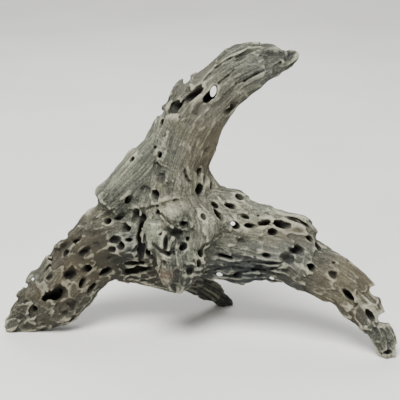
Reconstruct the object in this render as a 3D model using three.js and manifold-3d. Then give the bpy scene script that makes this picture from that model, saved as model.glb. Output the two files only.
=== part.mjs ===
// A piece of weathered driftwood, bored by shipworm: one solid that stands on three points.
// A forked root: an arm that curls up and over to the right, a leg down to the left, a longer leg
// down to the right and towards the viewer, a blunt shoulder, a crumpled brow that hangs in front,
// and a splintered spur that props the piece from behind.
// Millimetres, +Z up, X across the front, Y away from the viewer, the origin on the ground under
// the middle of the piece.
import * as THREE from "three";
import { LoftGeometry } from "three/addons/geometries/LoftGeometry.js";
import { mergeVertices } from "three/addons/utils/BufferGeometryUtils.js";
import Module from "manifold-3d";

// Driving dimensions.
const VIEW_ELEVATION = THREE.MathUtils.degToRad(18);
const VIEW_DISTANCE = 1600;
const VIEW_TARGET = new THREE.Vector3(-2, 2, 176);
const MIDDLE = new THREE.Vector3(-7, -7, 0);
const RING_SPACING = 12.5;
const FACET_WIDTH = 14.5;
const BARK = "#8f8d7c";

// Each limb is a swollen tube along a hand-laid path. A row of path is x, y, z, the half width
// across the limb and the half depth towards the viewer. Flute is the height of its long flutes.
const LIMBS = {
  root: {
    flute: 1.5,
    round_start: true,
    path: [
      [-246, -10, 9, 13, 10],
      [-226, -9, 21, 25, 15],
      [-210, -7, 32, 37, 20],
      [-187, -1, 50, 42, 28],
      [-164, 5, 75, 40, 31],
      [-139, 11, 99, 43, 34],
      [-108, 15, 113, 50, 37],
      [-64, 14, 123, 53, 42],
      [-15, 8, 128, 56, 43],
      [28, 1, 127, 57, 41],
      [69, -9, 121, 48, 38],
      [104, -21, 115, 42, 35],
      [132, -33, 103, 33, 31],
      [160, -47, 92, 29, 26],
      [186, -62, 77, 27, 21],
      [207, -74, 56, 23, 16],
      [223, -84, 31, 15, 12],
      [231, -90, 5, 11, 9],
    ],
  },
  stem: {
    flute: 1.1,
    round_start: false,
    path: [
      [-61, 15, 128, 48, 40],
      [-49, 12, 164, 50, 43],
      [-39, 9, 199, 48, 42],
      [-32, 8, 228, 42, 39],
      [-19, 5, 266, 39, 36],
      [1, 1, 300, 38, 32],
      [16, -2, 316, 34, 29],
      [29, -4, 329, 31, 27],
      [43, -5, 341, 30, 25],
      [58, -6, 349, 29, 23],
      [72, -6, 355, 26, 20],
      [84, -5, 357, 22, 17],
      [94, -4, 357, 17, 14],
      [102, -2, 358, 12, 11],
      [107, -1, 361, 10, 9],
      [110, 0, 363, 9, 8],
    ],
  },
  brow: {
    flute: 1.8,
    round_start: false,
    path: [
      [-35, -12, 172, 34, 26],
      [-27, -30, 152, 46, 30],
      [-30, -38, 126, 35, 24],
      [-27, -36, 99, 32, 24],
      [-30, -34, 81, 19, 16],
    ],
  },
  shoulder: {
    flute: 0.6,
    round_start: false,
    path: [
      [-117, 4, 175, 21, 24],
      [-95, 4, 198, 24, 28],
      [-73, 6, 221, 22, 30],
      [-53, 8, 245, 19, 28],
      [-35, 8, 271, 15, 24],
    ],
  },
  spur: {
    flute: 1.0,
    round_start: false,
    path: [
      [-95, 22, 86, 27, 24],
      [-55, 36, 64, 21, 22],
      [-16, 54, 46, 15, 15],
      [13, 68, 23, 12, 10],
      [26, 74, 8, 9, 8],
      [36, 79, 2, 5, 5],
    ],
  },
};

// Soft swellings of the skin, and hollows where the height is negative: millimetres across and up
// from the middle of the front view, y, then the reach and the height.
const SWELLINGS = {
  collar: [14, 20, 2, 14, 11],
  shoulder_foot: [-121, 2, 5, 15, 5],
  flake: [-42, 116, 3, 22, 5],
  saddle: [50, 3, -3, 24, 9],
  ledge: [104, -20, -22, 24, 5],
  ledge_end: [135, -31, -32, 20, 15],
  hip: [-137, -21, 12, 27, 7],
  nose: [-35, -16, -62, 17, 10],
  left_lobe: [-56, -41, -52, 20, 9],
  right_lobe: [15, -33, -42, 20, 11],
  lower_lobe: [-40, -90, -55, 18, 7],
  brow_hollow: [-16, -48, -60, 14, -11],
  flap: [47, -102, -14, 13, 8],
};

// Bites out of the outline: millimetres across and up, y, then the half size across, up and into
// the view, and the roll in degrees.
const BITES = {
  shin_upper: [225, -117, -68, 9, 6, 26, -20],
  shin_lower: [235, -150, -78, 11, 7, 26, 0],
};

// Worm bores seen from the front: name, millimetres across and up from the middle of the view,
// then the long side of the mouth, the short side, the depth, and the turn of the long side from
// the grain in degrees.
const BORES = [
  ["arm window well", 11, 131, 21, 11, 22, 0],
  ["arm slot", -9, 136, 31, 9, 16, 0],
  ["arm left hollow", -33, 118, 15, 10, 14, 0],
  ["arm right bore", 44, 120, 10, 9, 18, 0],
  ["arm right bore low", 36, 112, 11, 9, 9, 0],
  ["arm top slit", 59, 189, 35, 6, 9, 0],
  ["arm foot bore", -1, 36, 11, 7, 20, 0],
  ["shoulder notch", -88, 52, 9, 6, 9, 0],
  ["trunk upper bore", -52, 58, 8, 6, 14, 0],
  ["shoulder bore", -91, 0, 10, 9, 16, 0],
  ["trunk bore", -58, 6, 15, 10, 20, 60],
  ["trunk recess", -41, 14, 11, 9, 7, 0],
  ["under flake", -31, -1, 16, 5, 9, 80],
  ["throat", -1, 12, 15, 11, 17, 0],
  ["gap roof", -82, -18, 19, 9, 15, 0],
  ["gap", -76, -32, 23, 10, 30, 75],
  ["brow arch", -53, -19, 14, 8, 15, 90],
  ["brow eye", -21, -31, 11, 8, 18, 70],
  ["brow side recess", 4, -21, 11, 9, 8, 0],
  ["brow pin", -15, -50, 6, 5, 10, 0],
  ["brow slit", -45, -56, 18, 5, 12, 0],
  ["brow cave", -22, -59, 12, 11, 12, 0],
  ["brow right cave", 2, -68, 11, 9, 18, 0],
  ["brow round bore", -12, -89, 10, 9, 12, 0],
  ["neck slot", 24, -18, 21, 8, 24, -50],
  ["neck oval", 40, -7, 15, 6, 14, -10],
  ["neck hollow", 46, -31, 12, 10, 16, -30],
  ["root slot", -102, -21, 12, 6, 12, 0],
  ["root bore", -119, -27, 10, 7, 14, 0],
  ["leg bore high", -95, -36, 12, 11, 18, 0],
  ["leg bore mid", -108, -51, 12, 10, 11, 0],
  ["leg bore low", -102, -59, 12, 10, 13, 0],
  ["leg pin", -91, -51, 8, 5, 10, 0],
  ["leg cave", -74, -62, 12, 9, 22, 60],
  ["leg long slot", -84, -82, 24, 8, 24, -15],
  ["leg rim bore", -121, -92, 14, 9, 16, 0],
  ["leg wedge bore", -145, -89, 14, 10, 16, 0],
  ["leg round bore", -166, -94, 15, 13, 12, 0],
  ["leg rim slot", -150, -106, 15, 7, 14, 15],
  ["leg rim slot low", -139, -114, 16, 7, 14, 10],
  ["leg curved slot", -149, -67, 16, 8, 8, 0],
  ["leg pocket", -157, -50, 11, 9, 13, 0],
  ["leg oval", -172, -67, 10, 8, 9, 0],
  ["leg edge slit", -196, -87, 12, 5, 9, 0],
  ["leg small oval", -193, -97, 9, 7, 8, 0],
  ["leg ring", -213, -102, 8, 7, 12, 0],
  ["cavern", -181, -118, 19, 15, 32, 0],
  ["cavern floor", -184, -126, 12, 10, 24, 0],
  ["cavern horn", -195, -122, 14, 8, 15, 10],
  ["foot pit", -213, -140, 10, 8, 12, 0],
  ["foot slot", -163, -152, 9, 6, 10, 0],
  ["rim bore", 51, 5, 12, 9, 11, 0],
  ["crescent", 57, -21, 11, 5, 9, 0],
  ["ledge slot", 64, -32, 15, 6, 15, 10],
  ["long slot", 83, -29, 18, 8, 18, 20],
  ["great slot", 105, -31, 21, 12, 19, 10],
  ["lower slot", 94, -38, 12, 8, 15, 10],
  ["edge slot", 120, -24, 19, 6, 9, 0],
  ["ragged pit", 141, -49, 14, 8, 10, 0],
  ["edge slot low", 152, -61, 15, 8, 13, 0],
  ["twin bore", 113, -73, 16, 14, 20, 20],
  ["twin bore upper", 127, -64, 12, 11, 20, 0],
  ["rim window", 143, -86, 12, 9, 16, 0],
  ["heel crescent", 170, -95, 12, 8, 7, 0],
  ["under recess", 75, -88, 14, 8, 10, 0],
  ["under bore", 48, -96, 11, 11, 15, 0],
  ["flap crevice", 32, -73, 19, 5, 12, 0],
  ["shin slot", 190, -122, 19, 8, 17, 0],
  ["ankle slot", 218, -148, 18, 8, 14, 0],
  ["toe hollow", 241, -195, 9, 5, 7, 80],
];

// Bores that go right through, laid the same way.
const WINDOWS = [
  ["arm window", 17, 139, 15, 8, 110, 30],
  ["neck window", 42, -30, 7, 6, 130, 0],
  ["under window", 25, -95, 9, 5, 130, 0],
];

// Open cracks: half width, depth, then the across and up of each turn.
const CRACKS = {
  arm_upper: [2.2, 9, 21, 146, 27, 152, 37, 160, 45, 168],
  arm_lower: [1.8, 8, 38, 136, 43, 142, 46, 149, 56, 152, 69, 160, 81, 165, 94, 172, 103, 177],
  arm_left: [1.6, 7, -18, 130, -24, 122, -31, 114],
  throat: [2.4, 10, -20, 42, -18, 30, -14, 24, -6, 20],
  collar: [1.6, 8, 8, 40, 6, 31, 5, 21],
  brow_ledge: [2.0, 9, -72, -16, -62, -10, -50, -7, -30, -5],
  brow_gap: [3.5, 22, -71, -44, -71, -56, -65, -67, -57, -79, -57, -90],
  left_lobe_lip: [2.6, 10, -62, -55, -51, -65, -40, -69, -31, -64],
  right_lobe_lip: [2.4, 9, -10, -63, 4, -60, 15, -53, 26, -47],
  leg: [1.4, 8, -108, -69, -116, -74, -125, -80],
  rib_upper: [2.2, 9, 8, -79, 31, -83, 62, -79, 94, -81, 112, -79],
  rib_lower: [2.2, 9, 40, -94, 62, -91, 92, -87],
  ledge_rim: [1.8, 7, 106, -21, 124, -24, 142, -36],
};

// Bores of the sides the front view doesn't show: how many each limb has on its back.
const BACK_BORES = { root: 13, stem: 7, shoulder: 2, spur: 1 };

const wasm = await Module();
wasm.setup();

// Directions of the front view: across the picture, up it, and into it.
const ACROSS = new THREE.Vector3(1, 0, 0);
const INTO = new THREE.Vector3(0, Math.cos(VIEW_ELEVATION), -Math.sin(VIEW_ELEVATION));
const UPWARD = new THREE.Vector3(0, Math.sin(VIEW_ELEVATION), Math.cos(VIEW_ELEVATION));
const VIEWER = VIEW_TARGET.clone().addScaledVector(INTO, -VIEW_DISTANCE);

// A three.js geometry as a manifold solid, with its shared vertices merged.
function solidOf(geometry) {
  const bare = new THREE.BufferGeometry();
  bare.setAttribute("position", geometry.attributes.position);
  bare.setIndex(geometry.index);
  const merged = mergeVertices(bare, 1e-3);
  return new wasm.Manifold(
    new wasm.Mesh({
      numProp: 3,
      vertProperties: merged.attributes.position.array,
      triVerts: new Uint32Array(merged.index.array),
    }),
  );
}

// A manifold solid as a three.js geometry.
function geometryOf(solid) {
  const mesh = solid.getMesh();
  const geometry = new THREE.BufferGeometry();
  geometry.setAttribute("position", new THREE.BufferAttribute(mesh.vertProperties, 3));
  geometry.setIndex(new THREE.BufferAttribute(mesh.triVerts, 1));
  geometry.computeVertexNormals();
  return geometry;
}

// The largest body of a solid: a loose scrap is dropped.
function largestBody(solid) {
  return solid.decompose().reduce((a, b) => (a.volume() > b.volume() ? a : b));
}

// A closed loft through sections, faces outwards.
function loft(sections) {
  return solidOf(new LoftGeometry(sections, { capStart: true, capEnd: true }));
}

// The line of sight through a point of the front view, given in millimetres across and up.
function sightThrough(across, up) {
  return VIEW_TARGET.clone()
    .addScaledVector(ACROSS, across)
    .addScaledVector(UPWARD, up)
    .sub(VIEWER)
    .normalize();
}

// The point on the line of sight through across and up that has a given y.
function placeAt(across, up, y) {
  const sight = sightThrough(across, up);
  return VIEWER.clone().addScaledVector(sight, (y - VIEWER.y) / sight.y);
}

// Long flutes that wander round the limb as they run along it, with a slow swelling: a sum of
// sines in the angle and in the distance along, in millimetres.
function relief(limb, along, angle) {
  const w = along / 25;
  const p = limb.phase;
  return (
    limb.flute *
    (0.9 * Math.sin(3 * angle + 0.55 * w + p) +
      0.7 * Math.sin(5 * angle - 0.8 * w + 2 * p) +
      0.5 * Math.sin(8 * angle + 0.45 * w + 3 * p) +
      0.8 * Math.sin(1.7 * w + angle + p) +
      0.5 * Math.sin(3.1 * w - 2 * angle + 2 * p))
  );
}

const swellings = Object.values(SWELLINGS).map(([across, up, y, reach, height]) => {
  return { centre: placeAt(across, up, y), reach, height };
});

// The height that the swellings add at a point: each falls off as a bell.
function swell(point) {
  const bell = (s) => s.height * Math.exp(-point.distanceToSquared(s.centre) / s.reach ** 2);
  return swellings.reduce((sum, s) => sum + bell(s), 0);
}

class Limb {
  constructor(name, index) {
    const { path, flute, round_start } = LIMBS[name];
    this.name = name;
    this.flute = flute;
    this.roundStart = round_start;
    this.phase = 1.3 * index;
    const curve = (points) => new THREE.CatmullRomCurve3(points, false, "catmullrom", 0.5);
    this.centres = curve(path.map(([x, y, z]) => new THREE.Vector3(x, y, z)));
    this.sizes = curve(path.map(([, , , wide, deep]) => new THREE.Vector3(wide, deep, 0)));
    this.length = this.centres.getLength();
    const STEPS = 12 * (path.length - 1);
    this.stations = [];
    for (let i = 0; i <= STEPS; i++) {
      const station = this.station(i / STEPS);
      const before = this.stations[i - 1];
      station.along = before ? before.along + station.centre.distanceTo(before.centre) : 0;
      this.stations.push(station);
    }
  }

  // Centre, directions and half sizes of the section at t, from 0 at the root to 1 at the tip.
  station(t) {
    const centre = this.centres.getPoint(t);
    const forward = this.centres.getTangent(t);
    const front = new THREE.Vector3(0, -1, 0).addScaledVector(forward, forward.y).normalize();
    const side = new THREE.Vector3().crossVectors(front, forward);
    const size = this.sizes.getPoint(t);
    return { centre, forward, front, side, wide: size.x, deep: size.y };
  }

  // The station at a distance along the limb.
  stationAt(along) {
    return this.stations.find((s) => s.along >= along) ?? this.stations.at(-1);
  }

  // The station whose centre is nearest to a point.
  nearestStation(point) {
    const away = (s) => s.centre.distanceToSquared(point);
    return this.stations.reduce((a, b) => (away(a) < away(b) ? a : b));
  }

  // The point of the skin at a station and an angle, shrunk towards the centre by scale.
  skin(station, angle, scale) {
    const u = station.wide * Math.cos(angle);
    const v = station.deep * Math.sin(angle);
    const radius = Math.hypot(u, v);
    const out = new THREE.Vector3()
      .addScaledVector(station.side, u / radius)
      .addScaledVector(station.front, v / radius);
    const height = radius + relief(this, station.along, angle);
    const point = station.centre.clone().addScaledVector(out, height);
    return point.addScaledVector(out, swell(point) + (scale - 1) * height);
  }

  // The limb as a closed loft of sections, with a domed tip.
  solid() {
    const DOME = [30, 60, 82];
    const girth = (s) => 2 * Math.PI * Math.sqrt((s.wide ** 2 + s.deep ** 2) / 2);
    const sides = Math.round(Math.max(...this.stations.map(girth)) / FACET_WIDTH);
    const ring = (station, scale, push) => {
      const points = [];
      for (let j = 0; j < sides; j++) {
        const angle = (j / sides) * 2 * Math.PI;
        points.push(this.skin(station, angle, scale).addScaledVector(station.forward, push));
      }
      return points;
    };
    const dome = (station, side) => {
      const reach = side * Math.min(station.wide, station.deep);
      return DOME.map((degrees) => {
        const a = THREE.MathUtils.degToRad(degrees);
        return ring(station, Math.cos(a), reach * Math.sin(a));
      });
    };
    const heel = this.stations[0];
    const tip = this.stations.at(-1);
    const sections = this.roundStart ? dome(heel, -1).reverse() : [];
    const rings = Math.round(tip.along / RING_SPACING);
    for (let i = 0; i < rings; i++) {
      sections.push(ring(this.stationAt((i / rings) * tip.along), 1, 0));
    }
    sections.push(ring(tip, 1, 0), ...dome(tip, 1));
    return loft(sections);
  }
}

const limbs = Object.keys(LIMBS).map((name, index) => new Limb(name, index));

// An ellipsoid on the line of sight through a point of the front view, at a given y.
function ellipsoid([across, up, y, halfAcross, halfUp, halfInto, roll]) {
  const frame = new THREE.Matrix4()
    .makeBasis(ACROSS, UPWARD, INTO.clone().negate())
    .multiply(new THREE.Matrix4().makeRotationZ(THREE.MathUtils.degToRad(roll)))
    .scale(new THREE.Vector3(halfAcross, halfUp, halfInto))
    .setPosition(placeAt(across, up, y));
  return solidOf(new THREE.SphereGeometry(1, 11, 6).applyMatrix4(frame));
}

let wood = limbs.map((limb) => limb.solid()).reduce((a, b) => a.add(b));
for (const row of Object.values(BITES)) wood = wood.subtract(ellipsoid(row));

const bark = new THREE.Mesh(geometryOf(wood));

// The first place where a line meets the skin, with the limb it belongs to.
function meet(from, direction) {
  const hits = new THREE.Raycaster(from, direction).intersectObject(bark);
  if (hits.length === 0) return null;
  const point = hits[0].point;
  const share = (limb) => {
    const s = limb.nearestStation(point);
    return s.centre.distanceTo(point) / Math.hypot(s.wide, s.deep);
  };
  const limb = limbs.reduce((a, b) => (share(a) < share(b) ? a : b));
  return { point, station: limb.nearestStation(point) };
}

// A bore: a socket with a flared mouth at a point of the skin, its long side along the grain and
// turned by some degrees, running inwards for its depth and narrowing to its floor.
function bore(mouth, inward, grain, long, wide, deep, turn, floor) {
  const sides = wide < 10 ? 6 : 7;
  const away = THREE.MathUtils.degToRad(-turn);
  const lengthwise = grain.clone().addScaledVector(inward, -grain.dot(inward)).normalize();
  lengthwise.applyAxisAngle(inward, away);
  const sideways = new THREE.Vector3().crossVectors(inward, lengthwise);
  const shallow = deep < 11 || floor === 1;
  const sections = [
    [-9, shallow ? 1.2 : 1.3],
    ...(shallow ? [] : [[0.6 * deep, 0.8]]),
    [deep, floor],
  ].map(([depth, scale]) => {
    const points = [];
    for (let j = 0; j < sides; j++) {
      const angle = (j / sides) * 2 * Math.PI;
      points.push(
        mouth
          .clone()
          .addScaledVector(inward, depth)
          .addScaledVector(lengthwise, 0.5 * long * scale * Math.cos(angle))
          .addScaledVector(sideways, 0.5 * wide * scale * Math.sin(angle)),
      );
    }
    return points;
  });
  return loft(sections);
}

const cuts = [];
const FLOOR = 0.4;
for (const [, across, up, long, wide, deep, turn] of BORES) {
  const sight = sightThrough(across, up);
  const { point, station } = meet(VIEWER, sight);
  const inward = station.centre.clone().sub(point).normalize().add(sight).normalize();
  cuts.push(bore(point, inward, station.forward, long, wide, deep, turn, FLOOR));
}
for (const [, across, up, long, wide, deep, turn] of WINDOWS) {
  const sight = sightThrough(across, up);
  const place = meet(VIEWER, sight);
  cuts.push(bore(place.point, sight, place.station.forward, long, wide, deep, turn, 1));
}

// Fractional part of i times a step: an even scatter without a pattern.
const scatter = (i, step) => (i * step) % 1;

let count = 0;
for (const limb of limbs) {
  for (let k = 0; k < (BACK_BORES[limb.name] ?? 0); k++) {
    count += 1;
    const run = 0.1 + (0.8 * (k + 0.5)) / BACK_BORES[limb.name];
    const station = limb.stationAt(run * limb.stations.at(-1).along);
    const angle = THREE.MathUtils.degToRad(270 + 130 * (scatter(count, 0.7549) - 0.5));
    const outward = limb.skin(station, angle, 1).sub(station.centre);
    const far = station.centre.clone().addScaledVector(outward, 4);
    const inward = outward.clone().normalize().negate();
    const { point } = meet(far, inward);
    const wide = 7 + 6 * scatter(count, 0.5698);
    cuts.push(bore(point, inward, station.forward, 1.35 * wide, wide, 1.2 * wide, 0, FLOOR));
  }
}

// A crack: a trench with a sharp floor along a line of the front view, shallow at both ends.
function crack([half, deep, ...line]) {
  const turns = [];
  for (let i = 0; i < line.length; i += 2) {
    const sight = sightThrough(line[i], line[i + 1]);
    turns.push({ sight, point: meet(VIEWER, sight).point });
  }
  const sections = turns.map(({ sight, point }, i) => {
    const before = turns[Math.max(0, i - 1)].point;
    const after = turns[Math.min(turns.length - 1, i + 1)].point;
    const forward = after.clone().sub(before).normalize();
    const out = new THREE.Vector3().crossVectors(sight, forward).normalize();
    const end = i === 0 || i === turns.length - 1 ? 0.35 : 1;
    const corner = (sideways, depth) =>
      point.clone().addScaledVector(out, sideways * end).addScaledVector(sight, depth);
    return [corner(2 * half, -7), corner(0, deep * end), corner(-2 * half, -7)];
  });
  return loft(sections);
}
for (const row of Object.values(CRACKS)) cuts.push(crack(row));

wood = cuts.reduce((a, b) => a.subtract(b), wood);

const earth = new THREE.BoxGeometry(800, 600, 200).translate(0, 0, -100);
wood = largestBody(wood.subtract(solidOf(earth)));

const driftwood = new THREE.Mesh(
  geometryOf(wood).translate(-MIDDLE.x, -MIDDLE.y, 0),
  new THREE.MeshStandardMaterial({ color: BARK, roughness: 0.9, metalness: 0 }),
);
driftwood.name = "driftwood";

const part = new THREE.Group();
part.add(driftwood);
export default part;
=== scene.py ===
"""A piece of weathered driftwood, bored by shipworm, on a plain pale studio floor.

The wood is a solid given by a distance: how far a point is from five swollen limbs that melt into
each other, roughened along the grain and carved by bores, basins and cracks. The distance is worked
out with numpy on a grid of cells, and the wood's skin is the surface where it is zero.
Places in this file are millimetres, +Z up and +Y away from the viewer. They become metres from
MIDDLE when the mesh is made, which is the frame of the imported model.
"""

import logging
import math
from dataclasses import dataclass, field
from enum import Enum, IntEnum
from functools import partial
from typing import Any, Callable, Iterator

import bpy
import numpy as np
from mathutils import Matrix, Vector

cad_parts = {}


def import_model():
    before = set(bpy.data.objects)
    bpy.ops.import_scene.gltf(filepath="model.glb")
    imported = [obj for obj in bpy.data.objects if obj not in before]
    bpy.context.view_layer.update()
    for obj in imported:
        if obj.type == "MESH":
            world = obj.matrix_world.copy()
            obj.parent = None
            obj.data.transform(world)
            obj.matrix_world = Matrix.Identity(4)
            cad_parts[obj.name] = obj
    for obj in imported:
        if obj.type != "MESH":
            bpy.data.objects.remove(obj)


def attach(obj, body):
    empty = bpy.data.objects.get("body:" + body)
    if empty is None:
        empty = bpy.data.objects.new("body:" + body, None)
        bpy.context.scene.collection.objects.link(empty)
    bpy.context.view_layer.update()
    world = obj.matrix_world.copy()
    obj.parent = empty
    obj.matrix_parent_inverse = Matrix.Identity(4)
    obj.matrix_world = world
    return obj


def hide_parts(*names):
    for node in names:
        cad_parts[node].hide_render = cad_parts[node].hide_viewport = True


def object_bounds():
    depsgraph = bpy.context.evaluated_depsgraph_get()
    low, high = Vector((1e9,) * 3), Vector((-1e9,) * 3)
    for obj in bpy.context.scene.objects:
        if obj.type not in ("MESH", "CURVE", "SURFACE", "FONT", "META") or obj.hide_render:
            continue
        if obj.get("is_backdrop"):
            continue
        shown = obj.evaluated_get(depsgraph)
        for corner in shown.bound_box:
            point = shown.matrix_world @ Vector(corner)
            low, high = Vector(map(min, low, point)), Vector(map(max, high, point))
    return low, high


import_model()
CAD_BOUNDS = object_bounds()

import openvdb
from mathutils import Matrix, Vector

LOG = logging.getLogger("driftwood")

MILLIMETRE = 0.001
MIDDLE = np.array((-7.0, -7.0, 0.0))
# A distance past all that matters.
FAR = 99.0
# Odd numbers that mix the bits of a pseudo-random number, and the step from one seed to the next.
MIXERS = tuple(np.uint32(n) for n in (374761393, 668265263, 2246822519, 1274126177))
SEED_STEP = 97531
# How far each layer of noise is moved from the last, and how far a scattered seed stays from the
# sides of its cell, both in units of the noise.
LAYER_SHIFT = 17.3
SEED_MARGIN = 0.15


class Seed(IntEnum):
    """The seeds of the noises. Each limb's own relief starts at LIMB."""

    LIMB = 100
    BENT_WALL = 501
    ROUGH_WALL = 505
    CRACK = 601
    TONE = 701
    TAN = 702
    BLUE = 703
    DARK = 704
    BROWN = 705
    CHIP = 801
    WARP = 900
    LUMPS = 901
    PATCH = 902


@dataclass(frozen=True)
class View:
    """The photograph's view: a camera that looks down at the piece from the front.

    A place in the view is given in millimetres across and up, measured where the target is. The
    wood is looked for along a line of sight from near_y, in front of it, as far as sight_reach.
    """

    elevation: float = math.radians(18)
    distance: float = 1600.0
    target: tuple[float, float, float] = (-2.0, 2.0, 176.0)
    frame_width: float = 512.0
    near_y: float = -103.0
    sight_reach: float = 260.0

    @property
    def into(self) -> np.ndarray:
        """The direction that the camera looks in."""
        return np.array((0.0, math.cos(self.elevation), -math.sin(self.elevation)))

    @property
    def upward(self) -> np.ndarray:
        """The direction that is up in the picture."""
        return np.array((0.0, math.sin(self.elevation), math.cos(self.elevation)))

    @property
    def viewer(self) -> np.ndarray:
        """Where the camera stands."""
        return np.array(self.target) - self.distance * self.into

    def sight(self, across: float, up: float) -> np.ndarray:
        """The direction from the camera through a place in the view."""
        ray = self.distance * self.into + np.array((across, 0.0, 0.0)) + up * self.upward
        return ray / np.linalg.norm(ray)

    def place_at(self, across: float, up: float, y: float) -> np.ndarray:
        """The point on the line of sight through a place in the view that has a given y."""
        sight = self.sight(across, up)
        return self.viewer + sight * (y - self.viewer[1]) / sight[1]

    def project(self, points: np.ndarray) -> tuple[np.ndarray, np.ndarray]:
        """Where points are seen in the view.

        Args:
            points: Places, one a row.

        Returns:
            Their millimetres across and up, each scaled by the target's distance over their own.
        """
        offset = points - self.viewer.astype(points.dtype)
        scale = self.distance / (offset @ self.into.astype(points.dtype))
        return offset[:, 0] * scale, offset @ self.upward.astype(points.dtype) * scale


VIEW = View()


def lattice(cells: np.ndarray, seed: int) -> np.ndarray:
    """Pseudo-random numbers from 0 to 1, one for each whole-number cell.

    Args:
        cells: Whole numbers x, y, z, one cell a row.
        seed: Another seed gives other numbers.

    Returns:
        A number for each row, made by multiplying by odd numbers and folding the high bits down.
    """
    mixed = np.uint32(seed * SEED_STEP + 7)
    for axis in range(3):
        mixed = mixed + cells[..., axis].astype(np.int64).astype(np.uint32) * MIXERS[axis]
    for shift, mixer in ((13, MIXERS[3]), (15, MIXERS[2])):
        mixed = (mixed ^ (mixed >> np.uint32(shift))) * mixer
    return ((mixed ^ (mixed >> np.uint32(16))) / np.float32(2**32)).astype(np.float32)


def noise(points: np.ndarray, seed: int) -> np.ndarray:
    """Smooth noise from -1 to 1 with features about one unit wide.

    The numbers at the eight corners of the unit cell are blended with 6t^5 - 15t^4 + 10t^3.

    Args:
        points: Places in units of the noise, one a row.
        seed: Another seed gives another noise.

    Returns:
        The noise at each place.
    """
    corner = np.floor(points)
    t = (points - corner).astype(np.float32)
    blend = t * t * t * (t * (6 * t - 15) + 10)
    total = np.zeros(len(points), np.float32)
    for step in np.ndindex(2, 2, 2):
        weight = np.prod(np.where(step, blend, 1 - blend), axis=1)
        total += weight * lattice(corner + step, seed)
    return 2 * total - 1


def layered(points: np.ndarray, octaves: int, seed: int) -> np.ndarray:
    """Noise with finer noise on it: each layer is half as strong and twice as fine."""
    layers = (0.5**i * noise(points * 2**i + LAYER_SHIFT * i, seed + i) for i in range(octaves))
    return sum(layers) / (2 - 0.5 ** (octaves - 1))


@dataclass
class Cells:
    """The nearest of scattered seeds, one to a unit cell, seen from each place.

    First and second are how far the nearest is and the next. Number is the nearest one's own, and
    lean how far the place lies from it along the first axis.
    """

    first: np.ndarray
    second: np.ndarray
    number: np.ndarray
    lean: np.ndarray


def cells(points: np.ndarray, seed: int) -> Cells:
    """Look for the nearest of scattered seeds in the eight unit cells round each place."""
    home = np.floor(points - 0.5)
    first = np.full(len(points), 9.0, np.float32)
    second, number, lean = first.copy(), first.copy(), first.copy()
    for step in np.ndindex(2, 2, 2):
        cell = home + step
        spot = [lattice(cell, seed + i) for i in range(3)]
        away = points - cell - (SEED_MARGIN + (1 - 2 * SEED_MARGIN) * np.stack(spot, axis=1))
        square = np.einsum("ij,ij->i", away, away).astype(np.float32)
        closer = square < first
        second = np.where(closer, first, np.minimum(second, square))
        first = np.where(closer, square, first)
        number = np.where(closer, spot[0], number)
        lean = np.where(closer, away[:, 0], lean)
    return Cells(np.sqrt(first), np.sqrt(second), number, lean)


def melt(a: np.ndarray, b: np.ndarray, width: float) -> np.ndarray:
    """The smaller of two distances, rounded where they are within a width of each other.

    min(a, b) - width / 4 * max(0, 1 - |a - b| / width)^2
    """
    near = np.maximum(1 - np.abs(a - b) / width, 0)
    return np.minimum(a, b) - width / 4 * near**2


def carve(wood: np.ndarray, tool: np.ndarray, width: float) -> np.ndarray:
    """The distance to the wood after a tool's shape is taken from it, its rim rounded."""
    return -melt(-wood, tool, width)


@dataclass
class Located:
    """Where points lie on a limb: along it, to its side and front, and its size there."""

    along: np.ndarray
    side: np.ndarray
    front: np.ndarray
    beyond: np.ndarray
    wide: np.ndarray
    deep: np.ndarray
    cap: np.ndarray


# Flutes: their share of the height, how many lie round the limb, how fast they wander along it and
# how often the limb's phase is added. They wander by one radian in FLUTE_RUN at a speed of 1.
FLUTES = (
    (0.9, 3, 0.55, 1),
    (0.7, 5, -0.8, 2),
    (0.5, 8, 0.45, 3),
    (0.8, 1, 1.7, 1),
    (0.5, -2, 3.1, 2),
)
FLUTE_RUN = 25.0


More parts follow.
